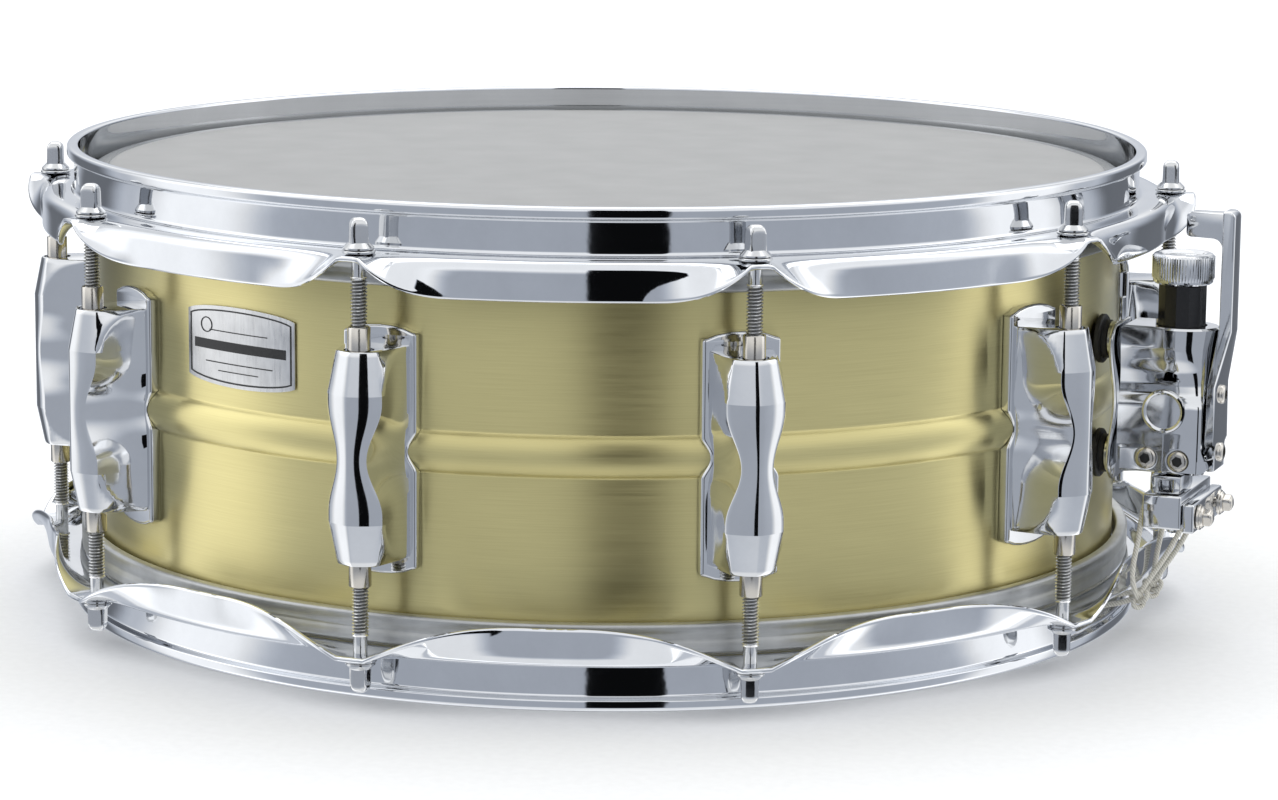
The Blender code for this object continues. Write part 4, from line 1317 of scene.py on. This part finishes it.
def make_world():
    """A white tent: bright above, paler below, a dark card in front and dark flags at the sides."""
    world = bpy.data.worlds.new("studio")
    bpy.context.scene.world = world
    studio = Nodes("studio", world)

    def calc(operation, *inputs):
        node = studio.add("ShaderNodeMath", operation=operation)
        for socket, value in zip(node.inputs, inputs):
            if isinstance(value, float):
                socket.default_value = value
            else:
                studio.link(value, socket)
        return node.outputs["Value"]

    def fade(source, start, end, low=0.0, high=1.0):
        return studio.spread(source, low, high, start, end, "SMOOTHSTEP")

    def band(source, low, high, soft):
        rising = fade(source, low - soft, low + soft)
        falling = fade(source, high - soft, high + soft, 1.0, 0.0)
        return calc("MULTIPLY", rising, falling)

    source = studio.add("ShaderNodeTexCoord")
    turn = studio.add("ShaderNodeVectorRotate", rotation_type="Z_AXIS", Angle=radians(-VIEW_AZIMUTH))
    studio.link(source.outputs["Generated"], turn.inputs["Vector"])
    split = studio.add("ShaderNodeSeparateXYZ")
    studio.link(turn.outputs["Vector"], split.inputs["Vector"])
    bearing = calc("ARCTAN2", split.outputs["Y"], split.outputs["X"])
    azimuth = calc("MULTIPLY", bearing, 180.0 / pi)
    aside = calc("ABSOLUTE", azimuth)
    height = split.outputs["Z"]
    strips = calc("MAXIMUM", band(azimuth, *LEFT_STRIP, 9.0), band(azimuth, *RIGHT_STRIP, 6.0))
    walls = calc("ADD", fade(aside, 50.0, 105.0, 0.46, 0.62), calc("MULTIPLY", strips, 0.60))
    flags = calc("MULTIPLY", band(aside, *FLAG_AZIMUTHS, 6.0), 0.72)
    walls = calc("MULTIPLY", walls, calc("SUBTRACT", 1.0, flags))
    walls = calc("ADD", walls, fade(height, -0.42, -0.72, 0.0, 0.5))
    walls = calc("MULTIPLY", walls, fade(height, 0.2, 0.8, 1.0, 0.7))
    level = calc("ADD", walls, calc("MULTIPLY", fade(height, 0.0, 0.50), 0.72))
    card = calc("MULTIPLY", band(azimuth, *CARD_AZIMUTHS, 0.4), band(height, *CARD_HEIGHTS, 0.02))
    level = calc("MULTIPLY", level, calc("SUBTRACT", 1.0, card))
    level = calc("MAXIMUM", level, 0.004)
    tint = studio.add("ShaderNodeMix", data_type="RGBA")
    studio.link(fade(level, 0.45, 1.0), tint.inputs[0])
    tint.inputs[6].default_value = (0.93, 1.0, 1.13, 1.0)
    tint.inputs[7].default_value = (0.985, 1.0, 1.02, 1.0)
    studio.link(tint.outputs[2], studio.shader.inputs["Color"])
    studio.link(level, studio.shader.inputs["Strength"])


def towards(azimuth, elevation):
    """Unit vector from the drum's middle towards a lamp or the camera."""
    angle, rise = radians(azimuth), radians(elevation)
    return Vector((cos(rise) * cos(angle), cos(rise) * sin(angle), sin(rise)))


def make_light():
    """One overhead softbox behind the drum, aimed at its middle."""
    data = bpy.data.lights.new("overhead", "AREA")
    data.shape = "RECTANGLE"
    data.size, data.size_y = SOFTBOX_SIZE
    data.energy = SOFTBOX_POWER
    lamp = show("overhead", data)
    offset = towards(VIEW_AZIMUTH + 180.0, SOFTBOX_ELEVATION)
    lamp.location = Vector(at(0.0, 0.0, 0.0)) + offset * SOFTBOX_DISTANCE
    lamp.rotation_euler = (-offset).to_track_quat("-Z", "Y").to_euler()


def make_camera():
    """The camera at the photograph's angle, aimed a little beside and below the drum's middle."""
    data = bpy.data.cameras.new("camera")
    data.lens = FOCAL_LENGTH
    data.sensor_width = 36.0
    data.clip_start = 0.05
    data.dof.use_dof = False
    camera = show("camera", data)
    centre = Vector(at(0.0, 0.0, 0.0))
    away = towards(VIEW_AZIMUTH, VIEW_ELEVATION)
    angle = radians(VIEW_AZIMUTH)
    right = Vector((-sin(angle), cos(angle), 0.0))
    camera.location = centre + away * VIEW_DISTANCE
    target = centre + right * AIM_RIGHT - away.cross(right) * AIM_DOWN
    turn = (target - camera.location).to_track_quat("-Z", "Y")
    roll = Matrix.Rotation(radians(VIEW_ROLL), 4, "Z")
    camera.matrix_world = Matrix.Translation(camera.location) @ turn.to_matrix().to_4x4() @ roll
    bpy.context.scene.camera = camera
    bpy.context.scene.view_settings.view_transform = "Standard"


make_shell()
make_heads()
make_flesh_hoops()
make_hoops()
make_lugs()
make_rods()
make_badge()
make_mounts()
make_housing()
make_lever()
make_knob()
make_sleeve()
make_clamp()
make_butt()
make_wires()
make_cords()
make_floor()
make_world()
make_light()
make_camera()

bpy.context.view_layer.update()
